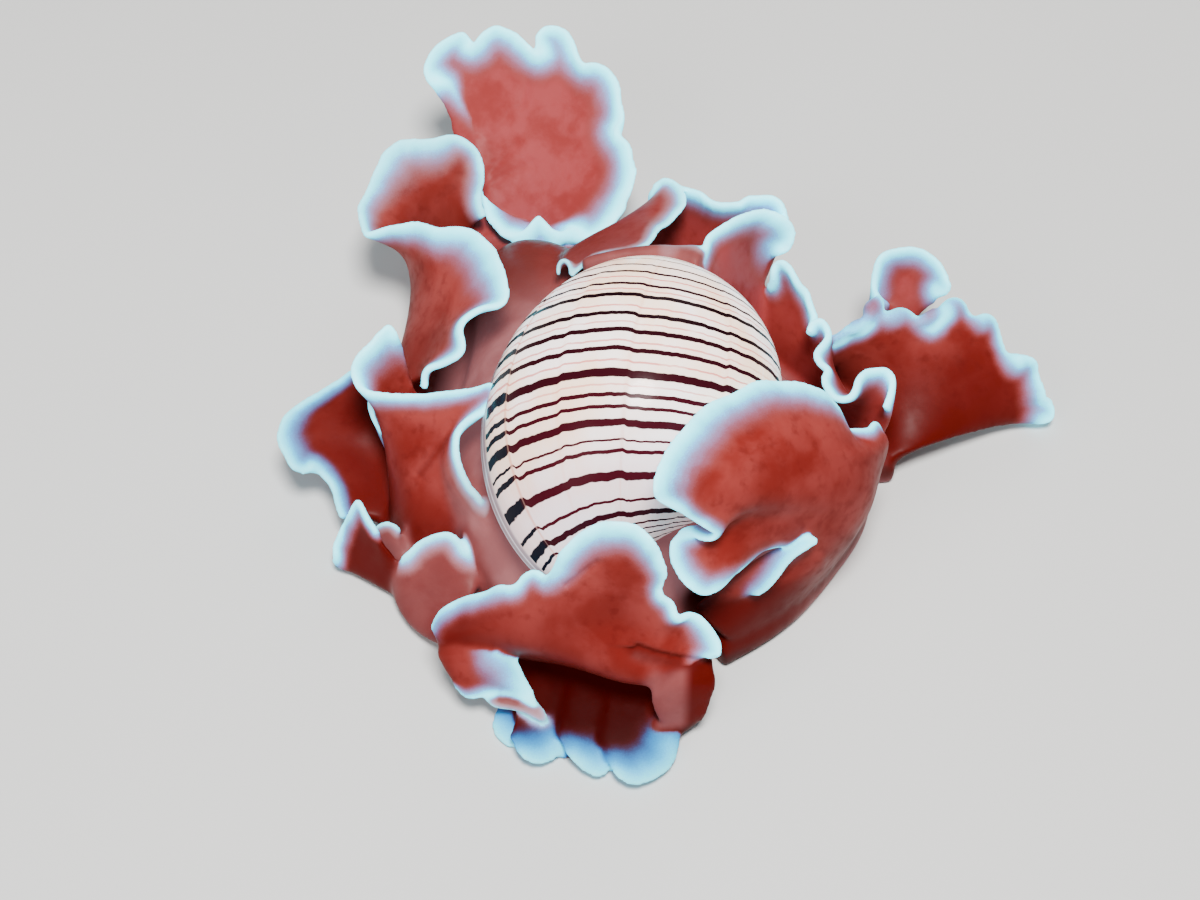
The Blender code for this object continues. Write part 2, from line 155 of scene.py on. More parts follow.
def shell_shape():
    """The outer wall, the lip's rim and a short way of the hollow behind it, closed by the body."""
    backs = np.linspace(0, 2 * math.pi, TURN_STEPS + 1)
    places = np.linspace(SHELL_END, -SHELL_END, PLACE_STEPS + 1)
    wide = PLACE_STEPS + 1
    outer = whorl(backs[:, None], places[None, :])
    back_of = np.repeat(backs, wide)
    place_of = np.tile(places, TURN_STEPS + 1)
    points = [outer.reshape(-1, 3)]
    faces = [grid_faces(TURN_STEPS + 1, wide)]
    count = len(outer) * wide
    last_row = np.arange(wide)
    taper = np.clip((SHELL_END - np.abs(places)) / LIP_TAPER, 0, 1)
    for back, inward in zip(LIP_TURNS, LIP_DEPTHS):
        row = whorl(np.full(wide, back) * np.where(back < 0, taper, 1), places, 0)
        heart = whorl(np.full(wide, back), places, -inward)
        points.append(row * (1 - taper[:, None]) + heart * taper[:, None])
        here = count + np.arange(wide)
        faces.append(np.stack((last_row[:-1], last_row[1:], here[1:], here[:-1]), axis=-1))
        last_row = here
        count += wide
        back_of = np.append(back_of, np.full(wide, back))
        place_of = np.append(place_of, places)
    inner = np.arange(TURN_STEPS * wide, (TURN_STEPS + 1) * wide)
    faces.append(np.stack((last_row[:-1], last_row[1:], inner[1:], inner[:-1]), axis=-1))
    caps = []
    ring = np.arange(TURN_STEPS + 1) * wide
    lip_rows = np.concatenate((np.arange(wide)[None],
                               np.arange((TURN_STEPS + 1) * wide, count).reshape(-1, wide)))
    for column, tip in ((0, SHELL_APEX - shell_axis * SPIRE_SINK),
                        (wide - 1, SHELL_APEX + shell_axis * FRONT_END)):
        loop = np.concatenate((ring + column, lip_rows[::-1, column][:-1]))
        points.append(tip[None])
        back_of = np.append(back_of, HOLLOW_BACK)
        place_of = np.append(place_of, SHELL_END if column == 0 else -SHELL_END)
        caps += [(loop[k], loop[(k + 1) % len(loop)], count) for k in range(len(loop))]
        count += 1
    body = mesh_object("shell_whorl", np.concatenate(points), np.concatenate(faces).tolist() + caps)
    note(body, "back", back_of)
    note(body, "place", place_of)
    return body


class Shade:
    """One value, vector or colour on its way through a material's nodes."""

    def __init__(self, tree, socket=None):
        self.tree = tree
        self.socket = socket

    def node(self, kind, settings=None, inputs=None, output=0):
        """Adds one node: first its settings, then the values or links of its sockets."""
        made = self.tree.nodes.new("ShaderNode" + kind)
        for name, value in (settings or {}).items():
            if name == "stops":
                ramp = made.color_ramp
                while len(ramp.elements) < len(value):
                    ramp.elements.new(0.5)
                for stop, (place, colour) in zip(ramp.elements, value):
                    stop.position = place
                    stop.color = (*colour, 1)
            else:
                setattr(made, name, value)
        for name, value in (inputs or {}).items():
            self.put(made.inputs[name], value)
        return Shade(self.tree, made.outputs[output])

    def put(self, socket, value):
        """Links a shade to a socket, or sets the socket's own value."""
        if isinstance(value, Shade):
            self.tree.links.new(value.socket, socket)
        elif socket.type == "RGBA":
            socket.default_value = (*value, 1)
        else:
            socket.default_value = value

    def maths(self, operation, *values):
        return self.node("Math", {"operation": operation}, dict(enumerate(values)))

    def __add__(self, other):
        return self.maths("ADD", self, other)

    def __sub__(self, other):
        return self.maths("SUBTRACT", self, other)

    def __rsub__(self, other):
        return self.maths("SUBTRACT", other, self)

    def __mul__(self, other):
        return self.maths("MULTIPLY", self, other)

    def __truediv__(self, other):
        return self.maths("DIVIDE", self, other)

    def __abs__(self):
        return self.maths("ABSOLUTE", self)

    __radd__ = __add__
    __rmul__ = __mul__

    def step(self, low, high):
        """A smooth rise from 0 where this value is low to 1 where it is high."""
        return self.node("MapRange", {"interpolation_type": "SMOOTHSTEP"},
                         {"Value": self, "From Min": low, "From Max": high})

    def reading(self, name):
        """The number stored for each point of the mesh under this name."""
        return self.node("Attribute", {"attribute_name": name}, output="Fac")

    def spot(self):
        """The place on the piece, in mm."""
        place = self.node("TexCoord", output="Object")
        return self.node("VectorMath", {"operation": "SCALE"}, {"Vector": place, "Scale": 1 / MM})

    def clamped(self):
        """This value, held between 0 and 1."""
        return self.node("Clamp", {}, {"Value": self})

    def noise(self, place, scale, detail=2.0, distortion=0.0):
        return self.node("TexNoise", {}, {"Vector": place, "Scale": scale, "Detail": detail,
                                          "Distortion": distortion})

    def blend(self, first, second):
        """The first colour where this mask is 0, the second where it is 1."""
        return self.node("Mix", {"data_type": "RGBA"}, {0: self, 6: first, 7: second}, output=2)

    def bump(self, strength, distance):
        """A normal bent by this height."""
        return self.node("Bump", {}, {"Height": self, "Strength": strength, "Distance": distance})


def finish_of(name, **values):
    """A new material: its shade to build with, and the principled shader with fixed values set."""
    material = bpy.data.materials.new(name)
    material.use_nodes = True
    shader = material.node_tree.nodes["Principled BSDF"]
    shade = Shade(material.node_tree)
    for socket, value in values.items():
        shade.put(shader.inputs[socket.replace("_", " ")], value)
    return material, shade, shader


# The shell's brown lines as (place, width in mm, strength, how red); those under 0.5 in strength are
# faint pink lines in the ground
SHELL_LINES = (
    (1.22, 0.30, 0.9, 0.7), (1.06, 0.30, 0.9, 0.6), (0.94, 0.26, 0.8, 0.8), (0.80, 0.34, 0.9, 0.6),
    (0.69, 0.42, 1.0, 0.4), (0.62, 0.24, 0.45, 1.0), (0.545, 0.40, 1.0, 0.3), (0.49, 0.22, 0.40, 1.0),
    (0.437, 0.56, 1.0, 0.0), (0.345, 0.22, 0.40, 1.0), (0.284, 0.52, 1.0, 0.05), (0.22, 0.20, 0.35, 1.0),
    (0.165, 0.54, 1.0, 0.25), (0.092, 0.22, 0.38, 1.0), (0.042, 0.50, 1.0, 0.4), (-0.032, 0.22, 0.40, 1.0),
    (-0.106, 0.82, 1.0, 0.5), (-0.175, 0.18, 0.30, 1.0), (-0.232, 0.42, 1.0, 0.8), (-0.302, 0.38, 1.0, 0.9),
    (-0.392, 0.74, 1.0, 0.8), (-0.492, 0.24, 0.60, 1.0), (-0.556, 0.40, 1.0, 1.0), (-0.699, 0.88, 1.0, 0.9),
    (-0.856, 0.32, 0.85, 1.0), (-0.953, 0.66, 1.0, 0.5), (-1.03, 0.26, 1.0, 0.8), (-1.085, 0.24, 1.0, 0.8),
    (-1.14, 0.24, 1.0, 0.5), (-1.22, 0.30, 1.0, 0.4), (-1.32, 0.30, 1.0, 0.4))
LINE_DARK = (0.010, 0.0022, 0.004)
LINE_RED = (0.052, 0.004, 0.009)
LIP_LINE = (0.005, 0.005, 0.011)
FAINT_LINE = (0.60, 0.12, 0.11)
SHELL_WHITE = (0.97, 0.87, 0.84)
SHELL_PEACH = (0.98, 0.66, 0.44)
SHELL_LILAC = (0.84, 0.60, 0.68)
LIP_GREY = (0.36, 0.26, 0.29)
LIP_EDGE = (0.80, 0.72, 0.76)
SEAM_TONE = (0.62, 0.17, 0.06)
BLUSH = (0.88, 0.50, 0.46)     # the ground beside a line
STREAK_PALE = (0.95, 0.88, 0.84)
LIP_RIDGES = (0.0, 0.055)      # the two pale ridges of the lip, as angles back from its edge
# The growth seams as (angle back from the lip, strength, how far the lines step there)
SHELL_SEAMS = ((0.40, 1.0, 0.020), (0.83, 0.25, -0.012), (1.28, 0.4, 0.015), (1.95, 0.25, -0.012),
               (2.7, 0.3, 0.010))


def shell_finish():
    """Smooth porcelain: pale ground, wavering brown lines that step at each seam, a grey lip, and a
    painted glow of light in the ground.
    """
    material, shade, shader = finish_of("glazed_striped_shell", Roughness=0.24, Coat_Roughness=0.1,
                                        Specular_IOR_Level=0.03, Emission_Strength=1.0)
    back = shade.reading("back")
    place = shade.reading("place")
    spot = shade.spot()

    def coiled(back_scale, place_scale, detail, scale=1.0):
        """Noise stretched along the coil or across it."""
        place_on_coil = shade.node("CombineXYZ", {}, {"X": back * back_scale, "Y": place * place_scale})
        return shade.noise(place_on_coil, scale, detail)

    waver = coiled(9.0, 1.2, 3.0) - 0.5
    drift = coiled(2.2, 14.0, 2.0)
    knobs = coiled(16.0, 30.0, 1.0)
    shift = waver * 0.03
    for seam, _, move in SHELL_SEAMS:
        shift = shift + (back + place * 0.05).step(seam - 0.02, seam + 0.02) * move
    line_place = place + shift
    near_lip = 1 - back.step(0.36, 0.42)
    swell = near_lip * (knobs.step(0.3, 0.7) * 0.4 + 0.15) + drift * 0.8 + 0.78
    strength, redness, blush, faint = 0.0, 0.0, 0.0, 0.0
    for middle, width, strong, red in SHELL_LINES:
        gap = abs(line_place - middle) / (swell * (0.5 * width / SHELL_HALF_LENGTH))
        mask = 1 - gap.step(0.75, 1.25)
        if strong < 0.5:
            faint = mask * (2 * strong) + faint
            continue
        strength = mask * strong + strength
        redness = mask * red + redness
        blush = (1 - gap.step(1.0, 4.5)) * (0.5 * red) + blush
    patches = shade.noise(spot, 0.10, 3.0, 0.4)
    streaks = coiled(40.0, 2.5, 4.0)
    fade = coiled(5.0, 30.0, 2.0)
    ground = (patches.step(0.40, 0.64) * 0.8).blend(SHELL_WHITE, SHELL_PEACH)
    ground = (place.step(-0.30, -0.80) * 0.6).blend(ground, SHELL_LILAC)
    ground = (streaks.step(0.50, 0.75) * 0.35).blend(ground, STREAK_PALE)
    ground = (blush * 0.4).clamped().blend(ground, BLUSH)
    ground = (faint * fade.step(0.2, 0.5)).blend(ground, FAINT_LINE)
    seams = 0.0
    for seam, plain, _ in SHELL_SEAMS:
        seams = (1 - (abs(back + waver * 0.05 - seam) / 0.020).step(0.1, 1.0)) * plain + seams
    ground = (seams * 0.5).blend(ground, SEAM_TONE)
    ground = (1 - back.step(0.09, 0.135)).blend(ground, LIP_GREY)
    for ridge in LIP_RIDGES:
        ground = ((1 - (abs(back - ridge) / 0.012).step(0.3, 1.0)) * 0.8).blend(ground, LIP_EDGE)
    ink = near_lip.blend(redness.clamped().blend(LINE_DARK, LINE_RED), LIP_LINE)
    amount = strength * back.step(0.115, 0.13) * (fade.step(0.15, 0.4) * 0.5 + 1.2) * (1 - seams * 0.5)
    amount = amount.clamped()
    shade.put(shader.inputs["Base Color"], amount.blend(ground, ink))
    shade.put(shader.inputs["Coat Weight"], (1 - amount) * 0.26 + 0.02)
    # Painted light: the ground glows in its own colour, more towards the spire and further back round the
    # coil, not on the lip or the lines
    painted_light = (1 - amount) * (place.step(-1.0, 0.1) * 0.75 + 0.25) * back.step(0.10, 0.30)
    painted_light = painted_light * (back.step(0.9, 2.2) * 0.5 + 1)
    shade.put(shader.inputs["Emission Color"], painted_light.blend((0, 0, 0), ground))
    relief = streaks * 0.5 + seams * 0.6 + coiled(9.0, 1.2, 3.0, 3.0) * 0.25
    shade.put(shader.inputs["Normal"], relief.bump(0.25, 0.00006))
    return material


shell = shell_shape()
shell.data.materials.append(shell_finish())
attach(shell, "root")
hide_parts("shell")


# The animal's flesh: one soft, wet skin that runs from the broad foot up into the side lobes, the
# head shield and the tail fan, with a bluish-white rim along every margin. The lobes grew from the
# edge of the foot and are held up and ruffled by their own muscle.
FOOT_RIM = ((0, 21), (25, 23), (50, 23), (75, 25), (95, 31), (108, 40), (115, 42), (122, 40), (135, 31),
            (155, 26), (180, 24), (205, 24), (230, 22.5), (255, 21), (275, 19.5), (292, 17.5), (320, 17.5),
            (340, 18.5))
FOOT_RIM_HEIGHT = 5.0
FOOT_CROWN = 13.0
CROWN_FULLNESS = 0.75
MANTLE_FULLNESS = 0.44         # the crown is fuller on the animal's right, beside the shell's lip
MANTLE_SIDE = (168, 62)        # bearing of that side's middle and how far it reaches each way
FOOT_STEP = 2
FOOT_RINGS = 26
SHELL_CLEARANCE = 0.12
GAP = 0.3
BAND_THICK = 2.8
BAND_HEIGHT = 4.2
OUTER = BAND_THICK + GAP       # how much further out the outer ruffles of the foot stand
ROOT_LAP = 0.4                 # how far one root reaches into the next
SHEET_ROOT = 2.0               # thickness of a lobe at its root and at its margin
SHEET_RIM = 0.7
SHEET_STEP = 0.4               # mm between the columns of a lobe along its margin
SHEET_ROWS = 66
KNOT_STEPS = 12                # points of a margin's curve between two of its knots
MARGIN_TAPER = 0.55
RIPPLES = (1.0, 2.6, 5.0)      # mm: ripples of a margin that reach a little, half and all the way in
FINE_FADE, BROAD_FADE = 1.6, 3.6   # mm from the margin in which the finer ripples die out
FRILL_FADE = 3.0
FRILL_ENDS = 3.0               # mm in which a frill dies out at the two ends of a lobe
FRILL_WAVES = (11.0, 6.5, 4.2)     # mm
RIM_WINDOW = 9.0               # mm of margin on each side that a point of a lobe is measured to
RIM_FADING = 40.0              # how fast a rim ends at the end of its pale length
NO_RIM = (2, 3)                # shares past the end of a margin, so that none of it is pale
FAR = 99.0                     # further than any margin


def polar(bearing, reach, height):
    """A point at a bearing (degrees) and a reach from the foot's middle."""
    turn = math.radians(bearing)
    return np.array((reach * math.cos(turn), reach * math.sin(turn), height))


def foot_reach(bearing):
    """Reach of the foot's rim at a bearing, a smooth closed curve through the rim's knots."""
    knots = ([(b - 360, r) for b, r in FOOT_RIM[-3:]] + list(FOOT_RIM)
             + [(b + 360, r) for b, r in FOOT_RIM[:3]])
    bearing %= 360
    for i in range(1, len(knots) - 2):
        (b0, r0), (b1, r1), (b2, r2), (b3, r3) = knots[i - 1:i + 3]
        if b1 <= bearing <= b2:
            t = (bearing - b1) / (b2 - b1)
            m1 = (r2 - r0) / (b2 - b0) * (b2 - b1)
            m2 = (r3 - r1) / (b3 - b1) * (b2 - b1)
            return ((2 * t ** 3 - 3 * t ** 2 + 1) * r1 + (t ** 3 - 2 * t ** 2 + t) * m1
                    + (3 * t ** 2 - 2 * t ** 3) * r2 + (t ** 3 - t ** 2) * m2)
    raise ValueError("bearing outside the rim")


def rim_point(bearing, out, height):
    """A point at a distance (mm) out from the foot's rim, measured square to it."""
    here = polar(bearing, foot_reach(bearing), height)
    along = polar(bearing + 1, foot_reach(bearing + 1), 0) - polar(bearing - 1, foot_reach(bearing - 1), 0)
    along /= np.linalg.norm(along)
    return here + out * np.array((along[1], -along[0], 0))


def margin_line(knots, step=SHEET_STEP):
    """A smooth line through knots of across, down and height in the photograph.

    Heights that are left out are evened in between their neighbours.
    """
    places = np.array([knot[:2] for knot in knots], float)
    run = np.concatenate(([0], np.cumsum(np.linalg.norm(np.diff(places, axis=0), axis=1))))
    given = [i for i, knot in enumerate(knots) if len(knot) > 2]
    heights = np.interp(run, run[given], [knots[i][2] for i in given])
    points = np.array([seen(*place, height) for place, height in zip(places, heights)])
    padded = np.vstack((2 * points[0] - points[1], points, 2 * points[-1] - points[-2]))
    fine = []
    for i in range(len(points) - 1):
        a, b, c, d = padded[i:i + 4]
        for t in np.linspace(0, 1, KNOT_STEPS, endpoint=False):
            fine.append(0.5 * (2 * b + (c - a) * t + (2 * a - 5 * b + 4 * c - d) * t ** 2
                               + (3 * b - a - 3 * c + d) * t ** 3))
    fine = np.array(fine + [points[-1]])
    run = np.concatenate(([0], np.cumsum(np.linalg.norm(np.diff(fine, axis=0), axis=1))))
    wanted = np.linspace(0, run[-1], int(run[-1] / step) + 1)
    return np.stack([np.interp(wanted, run, fine[:, k]) for k in range(3)], axis=1)


skin_points, skin_faces = [], []
lobe_samples, lobe_notes = [], []


def add_flesh(points, faces):
    """Adds one closed form to the flesh that the skin will cover."""
    first = sum(len(p) for p in skin_points)
    skin_points.append(np.asarray(points, float))
    skin_faces.extend(tuple(int(c) + first for c in face) for face in faces)


def slab(middle, half):
    """Points and faces of a thin closed form round a grid of middle points with its half thicknesses."""
    rows, columns = middle.shape[:2]
    normal = np.cross(np.gradient(middle, axis=0), np.gradient(middle, axis=1))
    normal /= np.linalg.norm(normal, axis=2)[..., None] + 1e-9
    sides = (middle + normal * half, middle - normal * half)
    points = np.concatenate([side.reshape(-1, 3) for side in sides])
    under = rows * columns
    top = grid_faces(rows, columns)
    faces = top.tolist() + (top[:, ::-1] + under).tolist()
    loop = [(i * columns, (i + 1) * columns) for i in range(rows - 1)]
    loop += [((rows - 1) * columns + j, (rows - 1) * columns + j + 1) for j in range(columns - 1)]
    loop += [((i + 1) * columns + columns - 1, i * columns + columns - 1) for i in reversed(range(rows - 1))]
    loop += [(j + 1, j) for j in reversed(range(columns - 1))]
    faces += [(a, b, under + b, under + a) for a, b in loop]
    return points, faces


def evened(line, reach):
    """The line with its ripples shorter than a reach (mm) taken out."""
    width = max(1, int(2.5 * reach / SHEET_STEP))
    weights = np.exp(-0.5 * (np.arange(-width, width + 1) * SHEET_STEP / reach) ** 2)
    weights /= weights.sum()
    if width < len(line):
        before, after = 2 * line[0] - line[width:0:-1], 2 * line[-1] - line[-2:-width - 2:-1]
    else:
        before, after = (np.repeat(end, width, axis=0) for end in (line[:1], line[-1:]))
    padded = np.concatenate((before, line, after))
    return np.stack([np.convolve(padded[:, k], weights, "valid") for k in range(3)], axis=1)


def through(lines, across):
    """Points of a smooth sheet through a few lines, from the first to the last."""
    lines = np.array(lines)
    gaps = np.linalg.norm(np.diff(lines, axis=0), axis=2).mean(axis=1)
    knots = np.concatenate(([0], np.cumsum(gaps))) / gaps.sum()
    slopes = np.empty_like(lines)
    slopes[0] = (lines[1] - lines[0]) / (knots[1] - knots[0])
    slopes[-1] = (lines[-1] - lines[-2]) / (knots[-1] - knots[-2])
    for k in range(1, len(lines) - 1):
        slopes[k] = (lines[k + 1] - lines[k - 1]) / (knots[k + 1] - knots[k - 1])
    sheet = []
    for t in across:
        k = min(np.searchsorted(knots, t, side="right") - 1, len(lines) - 2)
        wide = knots[k + 1] - knots[k]
        u = (t - knots[k]) / wide
        sheet.append((2 * u ** 3 - 3 * u ** 2 + 1) * lines[k] + (u ** 3 - 2 * u ** 2 + u) * wide * slopes[k]
                     + (3 * u ** 2 - 2 * u ** 3) * lines[k + 1] + (u ** 3 - u ** 2) * wide * slopes[k + 1])
    return np.array(sheet).transpose(1, 0, 2)


def course_line(course, shares):
    """A line through knots (share, across, down, height), read at the shares of a lobe's margin."""
    course = np.array(course, float)
    places = np.array([seen(*knot[1:]) for knot in course])
    return np.stack([np.interp(shares, course[:, 0], places[:, k]) for k in range(3)], axis=1)


def along_margin(tone, shares):
    """A lobe's tone for each column: the same all along, or a course of (share, tone)."""
    return np.full(len(shares), float(tone)) if np.isscalar(tone) else np.interp(shares, *zip(*tone))


def lobe(root, knots, rise=3, turn=(0, 0), courses=(), inset=0.0, start=2.0, frill=0.2, seed=0,
         rim=(0, 1), pale=1.0, azure=0.0, tail=0.0, mauve=0.0, deep=0.0, thick=SHEET_RIM):
    """A ruffled lobe from its root, a length of the foot's rim or a course, to its margin.

    It comes to the margin from turn = (outward, up) mm, or by way of courses, each a list of share of
    the margin, across, down and height. Its deep tone is painted shade, for a lobe that lies in shade;
    its pink tone is the tail fan's own pink, and painted light on lobes in shade behind the shell.
    """
    edge = margin_line(knots)
    count = len(edge)
    shares = np.linspace(0, 1, count)
    if np.isscalar(root[0]):
        base = np.array([rim_point(b, GAP + inset + BAND_THICK / 2, start)
                         for b in np.linspace(*root, count)])
    else:
        base = evened(course_line(root, shares), 2.0)
    outward = base * (1, 1, 0)
    outward /= np.linalg.norm(outward, axis=1)[:, None]
    first = base + np.array((0, 0, rise))
    calm, calmer, calmest = (evened(edge, reach) for reach in RIPPLES)
    across = np.linspace(0, 1, SHEET_ROWS)
    if courses:
        lines = [evened(course_line(course, shares), 3.0) for course in courses]
        grid = through([base] + lines + [calmest], across)
    else:
        climb = np.clip((calmest[:, 2:] - start) / (calmest[:, 2].max() - start), 0, 1)
        second = calmest + outward * turn[0] + climb * np.array((0, 0, turn[1]))
        grid = np.array([base * (1 - t) ** 3 + 3 * first * t * (1 - t) ** 2 + 3 * second * t * t * (1 - t)
                         + calmest * t ** 3 for t in across]).transpose(1, 0, 2)
    steps = np.linalg.norm(np.diff(grid, axis=1), axis=2)
    depth = np.hstack((np.cumsum(steps[:, ::-1], axis=1)[:, ::-1], np.zeros((count, 1))))[..., None]
    grid = (grid + (calmer - calmest)[:, None] * (across ** 4)[None, :, None]
            + (calm - calmer)[:, None] * np.exp(-(depth / BROAD_FADE) ** 2)
            + (edge - calm)[:, None] * np.exp(-(depth / FINE_FADE) ** 2))
    normal = np.cross(np.gradient(grid, axis=0), np.gradient(grid, axis=1))
    normal /= np.linalg.norm(normal, axis=2)[..., None] + 1e-9
    random = np.random.RandomState(seed + 40)
    run = np.arange(count) * SHEET_STEP
    wave = np.zeros(count)
    for length in FRILL_WAVES:
        wave += np.sin(2 * math.pi * run / (length * random.uniform(0.85, 1.15)) + random.uniform(0, 6.3))
    ends = np.clip(np.minimum(run, run[-1] - run) / FRILL_ENDS, 0, 1)
    grid = grid + normal * (frill * wave * ends)[:, None, None] * np.exp(-(depth / FRILL_FADE) ** 2)
    half = np.linspace(SHEET_ROOT, thick, SHEET_ROWS) / 2
    half[-1] *= MARGIN_TAPER
    add_flesh(*slab(grid, half[None, :, None]))
    note_rim(grid, half, rim, pale, (azure, tail, mauve, deep))


def note_rim(grid, half, rim, pale, tones):
    """Keeps how far each part of a lobe is from its pale margin, half its thickness and its tones.

    The margin is pale between the shares in rim, and its colours reach further in where pale is large.
    """
    count = len(grid)
    near = np.full(grid.shape[:2], FAR)
    reach = int(RIM_WINDOW / SHEET_STEP)
    shares = np.linspace(0, 1, count)
    fading = RIM_FADING * np.clip(np.maximum(rim[0] - shares, shares - rim[1]), 0, 1)
    pale = along_margin(pale, shares)
    for step in range(-reach, reach + 1):
        other = np.clip(np.arange(count) + step, 0, count - 1)
        gap = np.linalg.norm(grid - grid[other, -1][:, None], axis=2) + fading[other][:, None]
        near = np.minimum(near, gap / pale[other][:, None])
    notes = np.empty(near.shape + (2 + len(tones),))
    notes[..., 0] = near
    notes[..., 1] = half[None, :]
    for k, tone in enumerate(tones):
        notes[..., 2 + k] = along_margin(tone, shares)[:, None]
    lobe_samples.append(grid[:, 2:].reshape(-1, 3))
    lobe_notes.append(notes[:, 2:].reshape(-1, notes.shape[2]))


FOOT_EDGE = ((0.90, 0.0), (0.95, 0.15), (0.985, 0.8), (1.0, 2.0), (0.99, 3.6), (0.95, 4.8))
CROWN_EDGE = 0.95              # share of the foot's reach where the crown starts
SEAT_TURNS, SEAT_PLACES = 73, 31


def foot_body():
    """Flat sole, a rounded rim and a crown that rises into the shell, cut clear of it."""
    rings = list(FOOT_EDGE) + [(CROWN_EDGE * (1 - k / FOOT_RINGS), None) for k in range(1, FOOT_RINGS)]
    bearings = range(0, 360, FOOT_STEP)
    points = []
    for share, height in rings:
        for b in bearings:
            if height is None:
                side = max(0, 1 - ((b - MANTLE_SIDE[0]) / MANTLE_SIDE[1]) ** 2)
                full = CROWN_FULLNESS + (MANTLE_FULLNESS - CROWN_FULLNESS) * side
                level = FOOT_RIM_HEIGHT + FOOT_CROWN * (1 - (share / CROWN_EDGE) ** 2) ** full
            else:
                level = height
            points.append(polar(b, share * foot_reach(b), level))
    count = len(bearings)
    faces = []
    for row in range(len(rings) - 1):
        for k in range(count):
            following = (k + 1) % count
            faces.append((row * count + k, row * count + following,
                          (row + 1) * count + following, (row + 1) * count + k))
    faces.append(tuple(range((len(rings) - 1) * count, len(rings) * count)))
    faces.append(tuple(reversed(range(count))))
    body = mesh_object("foot_body", points, faces, 1.0)
    seat_backs = np.linspace(0, 2 * math.pi, SEAT_TURNS)
    seat_places = np.linspace(SHELL_END, -SHELL_END, SEAT_PLACES)
    seat = whorl(seat_backs[:, None], seat_places[None, :], SHELL_CLEARANCE)
    lip = shell_side * math.cos(LIP_ANGLE) - shell_top * math.sin(LIP_ANGLE)
    seat[0] += lip * SHELL_CLEARANCE
    seat[-1] += lip * SHELL_CLEARANCE
    seat_points = np.concatenate((seat.reshape(-1, 3),
                                  [SHELL_APEX - shell_axis * (SPIRE_SINK + SHELL_CLEARANCE)],
                                  [SHELL_APEX + shell_axis * (FRONT_END + 1)]))
    seat_faces = grid_faces(SEAT_TURNS, SEAT_PLACES, closed=True).tolist()
    spire_end = SEAT_TURNS * SEAT_PLACES
    for i in range(SEAT_TURNS):
        here, following = i * SEAT_PLACES, (i + 1) % SEAT_TURNS * SEAT_PLACES
        last = SEAT_PLACES - 1
        seat_faces += [(spire_end, here, following), (spire_end + 1, following + last, here + last)]
    cutter = mesh_object("seat", seat_points, seat_faces, 1.0)
    cut = body.modifiers.new("seat", "BOOLEAN")
    cut.operation = "DIFFERENCE"
    cut.object = cutter
    cut.solver = "MANIFOLD"
    bpy.context.view_layer.update()
    carved = body.evaluated_get(bpy.context.evaluated_depsgraph_get()).to_mesh()
    points = np.array([v.co for v in carved.vertices])
    faces = [tuple(f.vertices) for f in carved.polygons]
    body.evaluated_get(bpy.context.evaluated_depsgraph_get()).to_mesh_clear()
    bpy.data.objects.remove(body)
    bpy.data.objects.remove(cutter)
    add_flesh(points, faces)


# The rounded outline of a root, as shares of its thickness and height, from under the foot's rim
BAND_OUTLINE = ((0.8, 0), (0.97, 0.1), (1, 0.35), (0.92, 0.7), (0.7, 0.93), (0.4, 1))
BAND_LAP = 0.6


def root_band(start, end, inset=0.0):
    """The rounded root that a group of lobes rises from, laid round the foot."""
    count = int((end - start) / 2) + 1
    outline = ([(-BAND_LAP, 0)] + [(out * BAND_THICK, up * BAND_HEIGHT) for out, up in BAND_OUTLINE]
               + [(-BAND_LAP, BAND_HEIGHT - 0.2)])
    points = [rim_point(b, GAP + inset + out, height)
              for b in np.linspace(start, end, count) for out, height in outline]
    n = len(outline)
    faces = []
    for i in range(count - 1):
        for j in range(n):
            a, b = i * n + j, i * n + (j + 1) % n
            faces.append((a, b, b + n, a + n))
    faces += [tuple(range(n)), tuple(range((count - 1) * n, count * n))]
    add_flesh(points, faces)


foot_body()
root_band(288, 588)
for start, end in ((12, 50), (158, 200)):
    root_band(start, end, inset=OUTER - ROOT_LAP)

